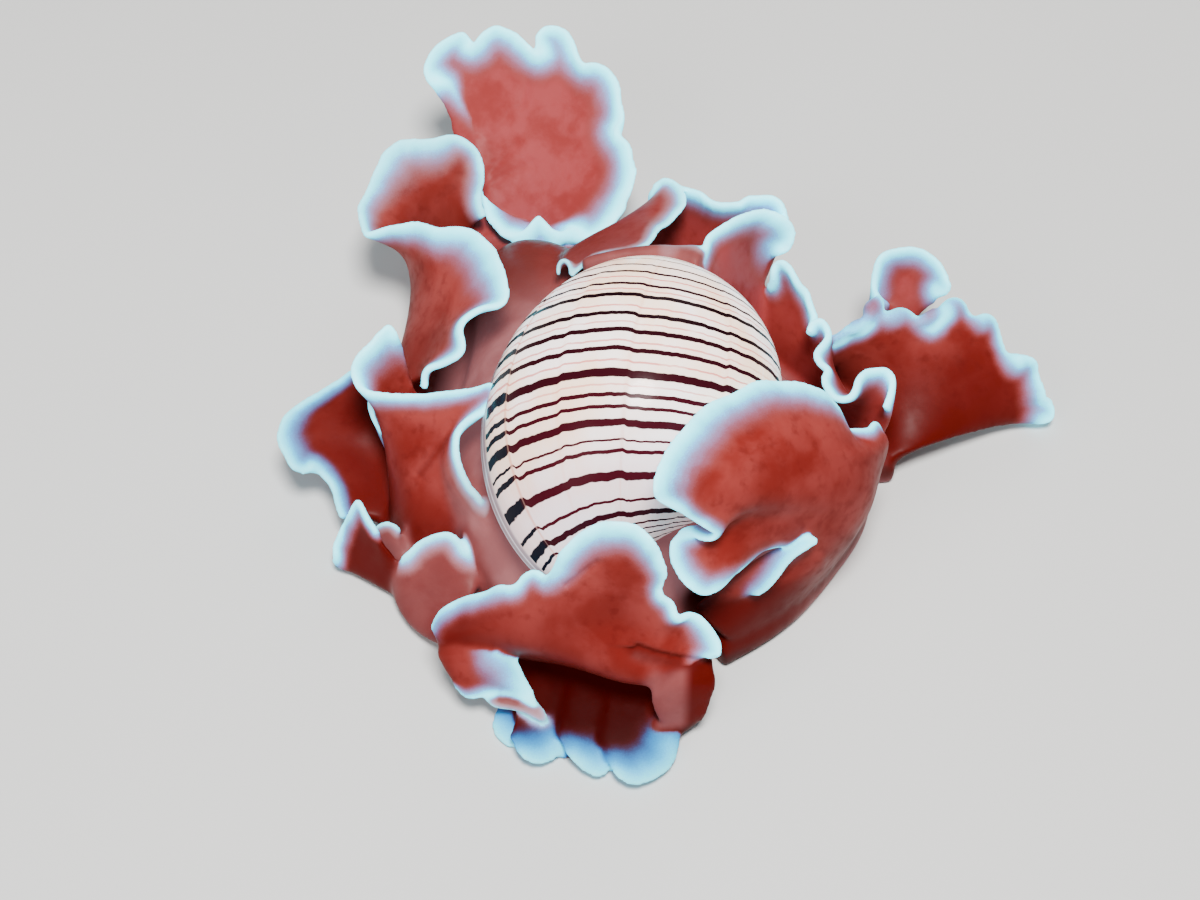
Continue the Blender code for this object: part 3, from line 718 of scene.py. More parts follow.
# Head shield: the broad flat front of the head, one soft fold of flesh. It rises from the head, rolls
# forward over the mouth and lies back on the shell's front.
lobe((230, 286), [
    (433, 627, 8), (435, 620), (440, 612), (446, 606, 9.8), (455, 600), (465, 596, 11), (476, 593),
    (487, 590, 12.4), (495, 586), (502, 584, 13.5), (510, 585), (516, 584, 14.4), (520, 579), (524, 573),
    (534, 569, 15.8), (540, 571), (546, 575, 16.3), (551, 572, 17), (556, 565, 18), (560, 557, 19),
    (565, 549, 20.3), (570, 542), (575, 536, 22.2), (583, 530), (593, 525, 24.2), (603, 522),
    (614, 521, 25.5), (624, 521), (634, 524, 25.6), (644, 530), (653, 538, 24.4), (659, 547, 23.2),
    (663, 557, 22), (667, 567), (667, 576, 19.7), (664, 583), (662, 589, 18), (664, 595),
    (668, 598, 16.7), (674, 602, 16.2), (677, 609), (680, 615, 15.2), (687, 613, 14.9), (697, 615),
    (707, 622, 13.6), (715, 632, 12.6), (721, 644, 11.6), (722, 652, 11), (718, 658, 10.6), (708, 660, 10)],
    courses=[[(0, 446, 648, 5.6), (0.15, 480, 648, 5.2), (0.35, 530, 652, 5), (0.6, 585, 661, 5),
              (0.8, 625, 668, 5.2), (1, 680, 662, 6)],
             [(0, 437, 641, 7.8), (0.12, 466, 636, 8.2), (0.25, 499, 640, 8.4), (0.4, 540, 648, 8.6),
              (0.6, 582, 659, 8.6), (0.75, 618, 672, 8.4), (0.88, 652, 683, 8.2), (1, 692, 662, 8.8)],
             [(0, 436, 636, 8), (0.15, 475, 622, 10), (0.35, 525, 622, 11.6), (0.5, 570, 618, 13.4),
              (0.7, 622, 616, 13.8), (0.85, 662, 634, 12.2), (1, 704, 650, 10)]],
    inset=-1.6, start=3.8, frill=0.1, seed=1, azure=((0, 0.6), (0.12, 0.4), (0.3, 0.1), (1, 0.1)),
    # Painted shade: the deep tone darkens the end of the shield beside the cupped lobe, which lies in shade
    deep=((0, 0.95), (0.12, 0.9), (0.22, 0.6), (0.35, 0.2), (0.6, 0.1), (1, 0.15)),
    pale=((0, 0.35), (0.1, 0.5), (0.3, 0.5), (0.4, 0.75), (0.55, 1.0), (0.65, 0.8), (0.74, 0.45), (0.85, 0.5),
          (0.93, 0.8), (1, 0.6)))

# Cupped lobe and pointed lip at the shield's left end: two thin flaps of the same skin, which hang
# down beside the mouth with their pale rims turned out.
lobe([(0, 439, 643, 7.2), (0.6, 470, 641, 7.4), (1, 499, 647, 7.6)], [
    (449, 668, 5), (455, 684, 4), (463, 695, 3.4), (472, 699, 3.4), (482, 697), (492, 693.5, 3.8),
    (503, 692, 4), (513, 693, 4.2), (522, 696), (530, 700, 4), (536, 704, 3.6), (534, 694, 4.2), (529, 685),
    (524, 676, 5), (520, 667), (513, 657, 6), (505, 650, 6.6)],
    courses=[[(0, 443, 655, 6), (0.25, 455, 668, 5.6), (0.6, 492, 672, 6.2), (0.85, 509, 664, 6.6),
              (1, 502, 648, 7)]],
    frill=0.0, seed=2, azure=0.35, rim=(0.1, 1),
    pale=((0, 0.15), (0.12, 0.2), (0.28, 0.4), (0.5, 0.45), (0.62, 0.7), (0.75, 1.1), (1, 0.9)))
lobe([(0, 478, 682, 4), (0.5, 500, 686, 4.2), (1, 522, 690, 4)], [
    (486, 700, 3), (492, 706), (502, 709, 2.6), (512, 710), (523, 713, 2.6), (533, 718, 2.4),
    (542, 722.5, 2.2), (548, 719, 2.4), (543, 709), (536, 702, 3)],
    frill=0.0, seed=21, mauve=0.85, pale=0.14, courses=[[(0, 482, 690, 3.6), (1, 527, 696, 3.6)]])

# Fold at the shield's right end: the front end of the left side lobe, which comes round under the
# shield and runs down to the foot. It has no pale rim.
lobe([(0, 708, 656, 8.4), (0.5, 716, 678, 7), (1, 704, 716, 2.4)], [
    (694, 661, 9.4), (676, 661, 9.6), (662, 664, 9.5), (653, 674, 9), (650, 690, 7.4), (651, 706, 5.4),
    (657, 720, 3.4), (665, 731, 1.8), (678, 735, 1), (692, 724, 0.9)],
    courses=[[(0, 702, 658, 9.2), (0.5, 682, 688, 7.4), (1, 699, 716, 2)]],
    frill=0.05, seed=22, mauve=0.45, rim=NO_RIM)

# Left front lobe, the largest: a wide sheet of flesh that grows from the foot's edge, stands up and
# folds back over the shell. Its front margin has a deep notch.
lobe((368, 331), [
    (880, 424, 16.5), (874, 421, 17), (866, 428, 17.8), (854, 428), (845, 427, 18.8), (840, 421),
    (838, 414, 19.8), (834, 405), (828, 397, 22), (822, 391), (812, 385.5, 24.3), (800, 382),
    (786, 380.5, 26), (775, 380), (764, 380, 27.2), (752, 382), (743, 387, 28.2), (736, 391),
    (727, 395, 29), (716, 399), (704, 406, 30.2), (692, 417), (681, 430, 30.9), (672, 441),
    (664, 453, 31), (658, 466), (653, 480, 30.4), (652, 489, 30), (655, 498, 29), (664, 505),
    (676, 511, 27), (690, 519), (702, 527, 24.5), (709, 531), (714, 534, 23), (711, 539, 22.2),
    (702, 540), (692, 536, 21.2), (682, 533), (674, 537, 20.4), (669, 545), (669, 556, 19.4), (673, 568),
    (680, 580, 17.5), (690, 590), (702, 596, 16.2), (712, 594), (723, 586, 15.8), (734, 571),
    (747, 558, 15.6), (760, 547), (771, 544, 15.4), (782, 546, 14.6)],
    courses=[[(0, 884, 444, 13.5), (0.25, 872, 462, 15.5), (0.5, 862, 490, 15.5), (0.75, 848, 520, 13),
              (1, 818, 556, 10)],
             [(0, 882, 432, 15.6), (0.12, 850, 446, 19.5), (0.3, 800, 440, 24.5), (0.5, 752, 462, 26.5),
              (0.62, 756, 492, 24.6), (0.75, 748, 520, 21), (0.88, 756, 540, 17.6), (1, 796, 550, 13.4)]],
    frill=0.08, seed=3, azure=0.15,
    pale=((0, 0.3), (0.07, 0.42), (0.15, 0.8), (0.3, 0.95), (0.42, 1.05), (0.50, 1.15), (0.55, 0.9),
          (0.6, 0.4), (0.68, 0.35), (0.76, 0.7), (0.84, 0.65), (0.92, 0.4), (1, 0.3)))

# Lapel of the left front lobe: the same sheet goes on forward, with its margin turned out over the
# foot's side.
lobe((332, 297), [
    (786, 545, 14.8), (797, 537.5, 15.4), (807, 536, 15.8), (818, 540, 16), (812, 545), (803, 552, 14.8),
    (791, 562), (780, 577, 12), (769, 589, 10.8), (759, 596, 10), (752, 593), (746, 597, 9.4),
    (738, 597, 9.2), (728, 603, 8.6), (716, 610, 8), (704, 618, 7.4)],
    courses=[[(0, 822, 556, 10.2), (0.2, 808, 566, 9.4), (0.5, 774, 592, 7.5), (1, 718, 632, 5.5)],
             [(0, 797, 550, 13.4), (0.15, 799, 551, 13.2), (0.3, 776, 550, 13), (0.5, 744, 564, 12.2),
              (0.75, 720, 586, 10.4), (1, 694, 610, 8.6)]],
    frill=0.05, seed=23, azure=0.4, rim=(0, 0.66), pale=((0, 0.35), (0.15, 0.4), (0.4, 0.6), (0.7, 0.5)))

# Left middle lobe and the ruffle of the foot outside it: the inner sheet ends in two curls beside
# the shell, and the outer ones lie out flat over the floor.
lobe((61, 11), [
    (768, 290, 11), (771, 276, 14), (774, 265, 15), (778, 261.5), (783, 261, 16), (789, 266),
    (793, 275, 15), (798, 284), (806, 291, 13.5), (809, 301), (812, 310), (815, 318, 12), (809, 325),
    (808, 332, 14.5), (811, 323), (820, 320, 15.5), (826, 326), (828, 335, 14.7), (822, 343),
    (816, 352, 15), (819, 362), (826, 369, 15.5), (823, 376), (824, 386, 15.8), (830, 395),
    (840, 399, 17.2), (850, 397), (855, 388), (857, 378, 17.5), (865, 370), (875, 368),
    (885, 367.5, 16.5), (891, 374), (891, 385, 15.8), (889, 395), (884, 407, 15)],
    rise=5, turn=(2, -4), frill=0.04, seed=4, azure=0.1, rim=(0.02, 1), pale=0.6, tail=0.3)
lobe((39, 13), [
    (830, 346, 11.6), (833, 339), (845, 333, 12.4), (857, 327, 12.8), (867, 319), (875, 311, 13.3),
    (879, 302, 13.7), (884, 312, 13.3), (892, 313), (901, 313, 12.8), (911, 315), (920, 318, 12.1),
    (931, 325, 11.6), (936, 319), (940, 313, 12), (946, 306, 12.1), (954, 305), (963, 308, 11.6), (971, 313),
    (978, 318, 10.9), (986, 317.5, 10.6), (994, 321), (1001, 330, 9.4), (1004, 343, 8.6), (1010, 353, 7.8),
    (1014, 357), (1022, 356.5, 7.2), (1033, 361, 6.4), (1039, 371), (1042, 384, 4.8), (1045, 396),
    (1053, 402, 3), (1056, 411, 2.4), (1053, 421), (1045, 424, 1.2), (1034, 416, 1)],
    rise=4, turn=(-3, 3), inset=OUTER, frill=0.3, seed=5, azure=0.25,
    # Painted shade: the deep tone darkens the far end of this ruffle
    deep=((0, 0.1), (0.5, 0.3), (0.8, 0.7), (1, 0.7)),
    pale=((0, 0.4), (0.3, 0.45), (0.6, 0.5), (0.75, 0.6), (0.86, 0.8), (1, 0.7)))
lobe((43, 35), [
    (892, 304, 9.4), (882, 298, 9.8), (876, 290), (874, 279, 11.2), (875, 267), (878, 259, 12.8), (884, 252),
    (893, 248, 13.6), (905, 246.5), (919, 248.5, 13.5), (931, 254), (940, 262, 12.9), (946, 272),
    (949, 280, 12), (952, 286), (947, 290.5, 10.8), (938, 291), (930, 293, 9.8)],
    rise=2, turn=(-1.5, -6), inset=OUTER, frill=0.08, seed=6, azure=0.3, rim=(0.1, 0.95), pale=0.65,
    tail=0.7)

# Left rear lobe: one sheet thrown into three folds behind the shell, and the thin film of mantle
# that fills the space between them and the top of the shell.
# Painted light: the pink tone of these lobes lightens flesh that lies in shade behind the shell
lobe([(0, 575, 262, 5), (0.4, 604, 262, 5), (0.7, 640, 262, 5), (1, 668, 258, 5)], [
    (559, 276, 16.8), (558, 268, 17.5), (561, 261, 18.3), (567, 261, 18.4), (570, 268), (571, 277, 18),
    (577, 270), (588, 262, 19.2), (600, 258, 20), (614, 253.5), (628, 251.5, 20.6), (640, 249),
    (651, 242, 20.6), (661, 231, 19.8), (671, 221, 19), (682, 211, 18.4), (687, 200), (683, 189, 17.4),
    (674, 180), (664, 177.5, 16.4), (658, 184), (657, 196, 14.4)],
    courses=[[(0, 568, 256, 9), (0.4, 600, 246, 9), (0.7, 632, 240, 9), (1, 664, 236, 9)],
             [(0, 560, 264, 14), (0.15, 574, 252, 14.5), (0.3, 596, 238, 15), (0.42, 616, 228, 15.4),
              (0.53, 632, 219, 15.6), (0.65, 645, 208, 15.6), (0.77, 655, 199, 15.4), (0.87, 657, 197, 14.6),
              (1, 653, 206, 13)]],
    frill=0.08, seed=7, mauve=((0, 0.8), (0.35, 0.6), (0.6, 0.3), (1, 0.2)), tail=0.5, thick=0.5,
    pale=((0, 0.2), (0.3, 0.3), (0.5, 0.4), (0.75, 0.6), (1, 0.6)))
lobe((98, 66), [
    (660, 206, 11), (666, 196, 13.6), (673, 190, 15.6), (680, 187.5, 17), (688, 189), (699, 192, 18),
    (710, 199, 18.5), (726, 202.5, 19), (741, 203.5, 19.5), (748, 197), (760, 195, 20), (771, 196),
    (781, 202, 19.6), (786, 212), (787, 222, 18)],
    rise=5, turn=(0, -6), frill=0.1, seed=8, azure=0.2, pale=0.75, tail=0.6)
lobe((65, 54), [
    (695, 271, 21.8), (698, 258), (702, 248, 22.4), (710, 235), (720, 226, 22.1), (730, 219.5),
    (741, 213.5, 21.4), (751, 210.5), (762, 210, 20.5), (775, 212), (787, 217, 19.2), (794, 227, 18),
    (795, 237), (791, 247, 16), (780, 251, 15.4)],
    courses=[[(0, 712, 300, 16), (0.4, 735, 290, 14), (0.7, 752, 285, 11), (1, 762, 300, 9)],
             [(0, 702, 285, 19.8), (0.4, 732, 255, 18), (0.75, 757, 250, 14.5), (1, 764, 262, 12.5)]],
    frill=0.1, seed=9, azure=0.1, tail=0.9, pale=((0, 0.5), (0.3, 0.6), (0.6, 0.8), (0.8, 1.2), (1, 1.0)))
lobe([(0, 584, 273, 19), (0.35, 625, 263, 20.2), (0.7, 668, 259, 20.8), (1, 700, 276, 20.8)], [
    (581, 270, 19), (592, 263.5, 19.4), (605, 259.5, 20), (618, 256), (632, 253.5, 20.4), (646, 251),
    (660, 249.5, 21), (673, 249, 21.2), (684, 248, 21.4), (696, 247.5, 21.8), (702, 250, 21.8)],
    frill=0.0, seed=27, mauve=0.8, rim=(0.72, 1), pale=0.35, thick=0.5)

# Right rear lobe: a long fold that leans in beside the shell, and the flap in front of the tail,
# both from the foot's edge.
lobe((129, 156), [
    (364, 234, 13), (379, 229, 14), (394, 225, 15), (406, 222.5), (417, 222, 16.4), (428, 224),
    (440, 227, 17.5), (453, 226), (465, 227, 18.4), (476, 231), (485, 238, 19), (493, 246),
    (499, 256, 19.6), (504, 267), (507, 278, 20), (508, 290), (506, 299, 19.8), (501, 305),
    (493, 307, 19.3), (483, 309), (475, 312, 19), (467, 318), (463, 328, 18), (464, 338),
    (465, 345, 16.9), (463, 352), (457, 358, 15.9), (446, 362), (437, 365, 14.6), (429, 370, 14),
    (425, 379, 13), (425, 390, 12)],
    courses=[[(0, 421, 287, 5.5), (0.25, 417, 302, 6.5), (0.5, 412, 328, 6.5), (0.75, 404, 358, 6),
              (1, 405, 395, 6)],
             [(0, 403, 252, 10.2), (0.25, 430, 268, 13), (0.5, 455, 292, 14.6), (0.75, 440, 335, 12.4),
              (1, 424, 380, 9.8)]],
    frill=0.08, seed=10, azure=0.15, pale=((0, 0.5), (0.25, 1.0), (0.5, 1.3), (0.7, 0.9), (1, 0.6)))
lobe((131, 121), [
    (364, 234, 13), (360, 224), (357, 210, 12), (361, 199), (367, 188, 12.5), (372, 175), (378, 163, 13),
    (382, 154), (389, 147, 13.8), (398, 141), (408, 139, 14.2), (420, 138.5), (433, 138, 14.2), (442, 135.5),
    (451, 134, 14), (461, 136), (469, 141, 13.2), (476, 147), (481, 155, 12), (484, 164), (485, 173, 10.9),
    (484, 182), (481, 192, 9.6), (482, 204), (486, 216, 8)],
    courses=[[(0, 424, 283, 5.5), (0.3, 425, 262, 5), (0.6, 445, 235, 5), (1, 470, 230, 5)],
             [(0, 407, 254, 9.6), (0.25, 396, 225, 10.6), (0.5, 415, 190, 10.6), (0.75, 446, 185, 9.8),
              (1, 482, 218, 7.4)]],
    frill=0.1, seed=11, azure=0.15, mauve=0.25,
    pale=((0, 0.4), (0.2, 0.7), (0.35, 1.1), (0.55, 1.0), (0.7, 0.6), (1, 0.5)))

# Right middle lobe and the ruffle of the foot outside it: a tall curtain whose tip is folded back on
# itself, with short curls of the foot's edge below.
lobe([(0, 440, 440, 5), (0.15, 425, 460, 4.5), (0.28, 404, 500, 3.5), (0.36, 396, 532, 2.6),
      (0.5, 410, 550, 2.6), (0.65, 432, 556, 3.2), (0.8, 452, 552, 4.5), (0.9, 468, 545, 5.5),
      (1, 480, 530, 7)], [
    (412, 385, 12), (408, 368), (404, 352, 15.8), (399, 338, 17.4), (394, 328, 18.7), (388, 324, 19),
    (380, 331), (372, 340, 18.6), (364, 347), (357, 355, 17.8), (352, 364, 17), (352, 373, 16.4),
    (356, 382, 15.9), (363, 388), (373, 392, 15.5), (386, 393), (400, 393.5, 16.1), (414, 393.5),
    (428, 393, 17), (442, 391), (456, 389.5, 18.3), (470, 388, 19), (481, 385), (490, 382.5, 20.3),
    (498, 385, 20.8), (501, 393, 20.4), (495, 402), (484, 410, 19), (473, 416, 18.5), (464, 424),
    (458, 433, 17), (457, 444, 16.6), (458, 456), (461, 467, 15.4), (466, 477, 14.6), (471, 487),
    (479, 496, 13.2), (483, 503), (486, 512, 11.6)],
    courses=[[(0, 428, 415, 8), (0.15, 408, 405, 9.5), (0.26, 390, 430, 8), (0.34, 391, 470, 6.8),
              (0.42, 400, 490, 7.5), (0.5, 414, 500, 8.5), (0.65, 440, 500, 9.5), (0.8, 452, 505, 9),
              (0.9, 459, 515, 8.6), (1, 478, 522, 8.2)],
             [(0, 416, 398, 10.5), (0.13, 397, 365, 14), (0.24, 374, 385, 14), (0.31, 377, 404, 13),
              (0.36, 389, 420, 12), (0.45, 408, 432, 12.6), (0.55, 432, 432, 14), (0.66, 456, 420, 16),
              (0.78, 446, 452, 14), (0.9, 455, 484, 12.4), (1, 481, 517, 10.6)]],
    frill=0.04, seed=12, azure=0.15, rim=(0.14, 0.97), mauve=((0, 0), (0.82, 0), (0.92, 0.6), (1, 0.9)),
    pale=((0.1, 1.0), (0.2, 1.2), (0.3, 0.8), (0.42, 0.45), (0.8, 0.42), (1, 0.35)))
lobe((160, 188), [
    (352, 369, 11), (341, 377), (330, 384, 10.5), (319, 391), (308, 398, 9.9), (298, 405, 9.5), (290, 410),
    (283, 416, 8.9), (279, 426), (277, 437, 7.9), (279, 447), (283, 456, 7), (287, 464), (292, 469.5, 6.6),
    (300, 472), (307, 471, 6.1), (311, 466.5), (316, 469, 5.8), (322, 474), (328, 482, 5.3), (332, 493, 5),
    (336, 506), (340, 518, 4)],
    courses=[[(0, 388, 402, 6.5), (0.5, 345, 442, 4.4), (1, 372, 520, 2.6)]],
    # Painted shade: the deep tone darkens this outer sheet, which lies in shade
    inset=OUTER, frill=0.12, seed=13, azure=0.7, deep=0.55,
    pale=((0, 0.3), (0.25, 0.45), (0.38, 0.7), (0.5, 0.85), (0.62, 0.75), (0.72, 0.5), (1, 0.4)))
lobe([(0, 378, 408, 8), (0.5, 388, 436, 7), (1, 393, 450, 6)], [
    (371, 398, 11.5), (369, 404, 11.4), (371, 413), (376, 423, 10.6), (383, 431), (388, 435, 9.6)],
    frill=0.0, seed=24, azure=0.3)
lobe((186, 206), [
    (336, 561, 0.9), (334, 552, 3.2), (335, 542), (339, 531, 4.8), (344, 521, 5.8), (350, 510, 7.4),
    (354, 502), (358, 499, 9), (362, 504), (367, 515, 8.8), (373, 526), (380, 538, 7.6), (387, 547),
    (395, 557, 6)],
    courses=[[(0, 350, 562, 0.9), (0.5, 368, 578, 0.9), (1, 398, 592, 0.9)],
             [(0, 339, 560, 1.0), (0.3, 345, 560, 2), (0.6, 366, 558, 3.6), (1, 396, 575, 3.4)]],
    # Painted shade: this small leaf takes the deep tone in full, for the shade it lies in
    frill=0.05, seed=14, rim=(0, 0.8), azure=0.3, deep=1,
    pale=((0, 0.4), (0.3, 0.5), (0.5, 0.55), (0.65, 0.35), (1, 0.25)))
lobe([(0, 384, 549, 3), (1, 404, 556, 3)], [
    (371, 532, 4.6), (376, 526, 6), (384, 522, 6.8), (393, 523, 6.8), (401, 529, 6.2)],
    courses=[[(0, 378, 541, 4), (1, 402, 542, 5)]],
    frill=0.0, seed=25, pale=0.22, mauve=0.5, thick=0.5)

# Right front lobe: a low pocket of flesh between the curtain and the head, with a pale rim along its
# top.
lobe((200, 229), [
    (397, 584, 3.4), (398, 572), (400, 562, 5.4), (404, 555), (409, 550, 7.2), (416, 543), (424, 538, 8.2),
    (433, 534), (442, 532, 9), (450, 532), (457, 536, 8.8), (461, 541), (465, 548, 8), (470, 553),
    (476, 556, 7), (484, 562, 6.4)],
    courses=[[(0, 402, 590, 1.4), (0.35, 405, 616, 1.2), (0.7, 424, 634, 1.6), (1, 452, 640, 3)],
             [(0, 396, 588, 2.2), (0.3, 402, 594, 3), (0.6, 428, 596, 4), (0.85, 456, 596, 5),
              (1, 474, 598, 5.4)]],
    # Painted shade: the deep tone darkens the pocket a little
    frill=0.05, seed=15, azure=0.1, rim=(0.24, 0.94), pale=0.5, mauve=0.3, deep=0.35)

# Tail fan: the hind end of the foot, spread as a shallow spoon with a scalloped pale rim. It rises
# from the floor behind the shell.
lobe((120, 108), [
    (482, 163, 8.6), (481, 150), (476, 134, 10.6), (468, 117), (459, 101, 12.6), (449, 85, 13.6),
    (437, 81, 14), (425, 76, 14.5), (424, 66), (429, 54, 16), (436, 45), (446, 38, 17.3), (456, 33),
    (463, 31, 18), (469, 37), (470, 45, 17), (475, 41), (480, 34, 18.2), (488, 28), (497, 25, 19),
    (506, 28), (514, 32, 18.6), (522, 40), (530, 46, 18), (537, 52), (541, 51, 17.8), (537, 43),
    (536, 35, 19.3), (543, 27), (551, 25, 20), (560, 26.5), (568, 31, 19.4), (571, 40), (573, 49, 18.5),
    (578, 57), (584, 62.5, 18), (593, 62), (602, 64, 17.4), (610, 69), (615, 78, 16.6), (618, 90),
    (620, 101, 15.6), (621, 112), (619, 121, 14.2), (614, 129, 13.6), (620, 135), (627, 141, 12.8),
    (632, 150), (634, 162, 11.6), (632, 176), (629, 189, 9.8), (624, 203, 8.5), (615, 217),
    (604, 230, 6.6), (593, 237, 6), (585, 235.5), (576, 230, 5.9), (569, 227.5), (562, 232, 5.8),
    (554, 230), (546, 222, 6.2), (539, 215, 6.5), (532, 221), (524, 230, 6), (515, 233), (506, 234, 5.9),
    (497, 230), (490, 222, 6.3), (486, 212), (483, 200, 7.2), (481, 190, 7.6)],
    rise=2, turn=(-3, -5), frill=0.08, seed=16, azure=0.1, tail=1.0, rim=(0.13, 1), pale=0.9)


# The foot's front edge: thin overlapping scallops of the foot that lie on the floor under the head,
# azure towards their margins.
PETAL_FLOOR = 0.42             # mm from the floor to the middle of a scallop's margin
PETAL_ROOT = 0.55
PETAL_STEP = 0.42              # how much higher each root is than the one before
PETAL_TILT = 2.0               # how far a scallop's first side is raised over its neighbour
PETAL_CROWN = 0.4
PETAL_HALVES = ((0, 0.5, 0.92, 1), (0.8, 0.42, 0.3, 0.18))
PETAL_RIM = (0.28, 0.92)
PETAL_PALE = ((0, 0.5), (0.3, 0.75), (0.5, 1.0), (0.8, 1.0), (1, 0.8))
PETAL_ROWS = 26
FRONT_SOLE = ((503, 712, 0.4), (515, 735), (545, 752), (590, 765), (625, 772), (660, 762), (668, 744))
FRONT_SOLE_HALVES = ((0, 0.9, 1), (0.6, 0.45, 0.3))
FRONT_SOLE_BEARINGS = (228, 288)
FRONT_SOLE_STEPS = 80
FRONT_SOLE_LAP, FRONT_SOLE_HEIGHT = 0.5, 0.4
# Each scallop as its root's bearings, its place in the pile and the knots of its margin
FRONT_PETALS = (
    ((228, 240), 0, ((501, 712), (495, 720), (493, 730), (499, 740), (509, 747), (519, 746), (527, 738))),
    ((234, 252), 1, ((508, 738), (513, 744), (517, 752), (524, 760), (536, 765), (548, 763), (558, 757),
                     (563, 746))),
    ((246, 266), 2, ((556, 738), (561, 744), (567, 755), (577, 766), (590, 775), (601, 777), (609, 771),
                     (613, 758))),
    ((258, 290), 3, ((600, 738), (604, 748), (607, 760), (614, 774), (625, 783), (636, 786), (650, 782),
                     (664, 774), (673, 763), (669, 753), (672, 742))))


def between(first, last, across):
    """A grid of points on straight lines from the points of one line to those of another."""
    return first[:, None] * (1 - across)[None, :, None] + last[:, None] * across[None, :, None]


def front_petals():
    """The four scallops, and under them the thin front of the sole that they lie on."""
    across = np.linspace(0, 1, PETAL_ROWS)
    for bearings, order, knots in FRONT_PETALS:
        level = PETAL_ROOT + PETAL_STEP * order
        raised = PETAL_TILT * min(order, 1)
        heights = [PETAL_FLOOR + raised * (1 - k / (len(knots) - 1)) for k in range(len(knots))]
        edge = margin_line([(*knot, height) for knot, height in zip(knots, heights)])
        lap = np.linspace(raised, 0.0, len(edge))[:, None]
        base = np.array([rim_point(b, GAP - ROOT_LAP, level) for b in np.linspace(*bearings, len(edge))])
        grid = between(base, edge, across)
        grid[..., 2] = (level + PETAL_CROWN * np.sin(math.pi * across)
                        - (level - PETAL_FLOOR - lap) * across ** 3)
        half = np.interp(across, *PETAL_HALVES)
        add_flesh(*slab(grid, half[None, :, None]))
        # The scallops take the azure tone, and the deep tone in full as painted shade under the head
        note_rim(grid, half, PETAL_RIM, PETAL_PALE, (1, 0, 0, 1))
    back = np.array([rim_point(b, GAP - FRONT_SOLE_LAP, FRONT_SOLE_HEIGHT)
                     for b in np.linspace(*FRONT_SOLE_BEARINGS, FRONT_SOLE_STEPS)])
    front = margin_line(FRONT_SOLE)
    front = np.stack([np.interp(np.linspace(0, 1, FRONT_SOLE_STEPS), np.linspace(0, 1, len(front)),
                                front[:, k]) for k in range(3)], axis=1)
    sole = between(back, front, across)
    half = np.interp(across, *FRONT_SOLE_HALVES)
    sole[..., 2] = half[None, :]
    add_flesh(*slab(sole, half[None, :, None]))


front_petals()


def neighbour_mean(values, edges, share, rounds):
    """Moves each point's values towards the mean of its neighbours, a share each round."""
    count = np.bincount(edges.ravel(), minlength=len(values)).astype(float)
    count[count == 0] = 1
    for _ in range(rounds):
        total = np.zeros_like(values)
        for k in range(values.shape[1]):
            total[:, k] = (np.bincount(edges[:, 0], values[edges[:, 1], k], len(values))
                           + np.bincount(edges[:, 1], values[edges[:, 0], k], len(values)))
        values = values + share[:, None] * (total / count[:, None] - values)
    return values


# Soft creases of the skin, where the flesh folds, as (half widths in pixels above and below, depth in
# mm, knots of across, down and height)
CREASE_HOLD = 4                # mm up or down from a crease that it still presses in
CREASES = (
    (2.8, 15.0, 0.75, ((638, 646, 11.5), (655, 652, 11), (672, 656, 10.8), (690, 659, 10.6), (706, 661, 10.4),
                      (716, 659, 10.6))),
    (3.2, 3.2, 0.50, ((597, 562, 20.5), (588, 569, 19), (578, 577, 17.5), (567, 585, 16.5))),
    (3.5, 3.5, 0.35, ((806, 500, 14.5), (818, 492, 14.5), (829, 483, 14), (838, 478, 13.5))),
    (6.0, 6.0, 0.45, ((420, 474, 9.5), (432, 458, 10.5), (443, 444, 12), (454, 430, 13.5))),
    (5.0, 5.0, 0.14, ((528, 72, 14), (526, 86, 13), (521, 104, 11))),
    (5.0, 5.0, 0.12, ((487, 186, 7), (500, 178, 6.5), (516, 170, 6), (531, 163, 5.5))),
    (5.0, 5.0, 0.12, ((487, 176, 7.5), (497, 164, 7), (507, 153, 7), (516, 143, 7.5))))


def creased(points):
    """The skin with its creases pressed in, and how deep in a crease each point lies."""
    place = shown(points)
    depth = np.zeros(len(points))
    for above, below, deep, knots in CREASES:
        line = margin_line(knots)
        middle = shown(line)
        near = np.full(len(points), FAR)
        wide = np.full(len(points), above)
        for here, (across, down) in zip(line, middle):
            gap = np.hypot(place[:, 0] - across, place[:, 1] - down)
            nearer = (np.abs(points[:, 2] - here[2]) < CREASE_HOLD) & (gap < near)
            near[nearer] = gap[nearer]
            wide[nearer] = np.where(place[nearer, 1] > down, below, above)
        depth = np.maximum(depth, deep * np.exp(-(near / wide) ** 2))
    return points - depth[:, None] * view_back, depth


SKIN_VOXEL = 0.27
RIM_HOLD = 0.22                # mm off a lobe within which the skin takes the colours of its rim
RIM_LOSS = 8                   # how fast it loses them beyond
RIM_LIMIT = 12
BODY_START, BODY_FULL = 1.0, 3.0   # mm off every lobe where the skin turns into bare mantle
CALM_START, CALM_WIDE = 1.6, 3.0   # mm from a margin where the fuller smoothing starts, and its rise
MARGIN_EASE, FURTHER_EASE = 0.25, 0.30
JOIN_EASE = 0.55
MARGIN_ROUNDS, JOIN_ROUNDS = 3, 14
RIM_ROUNDS, TONE_ROUNDS = 5, 10


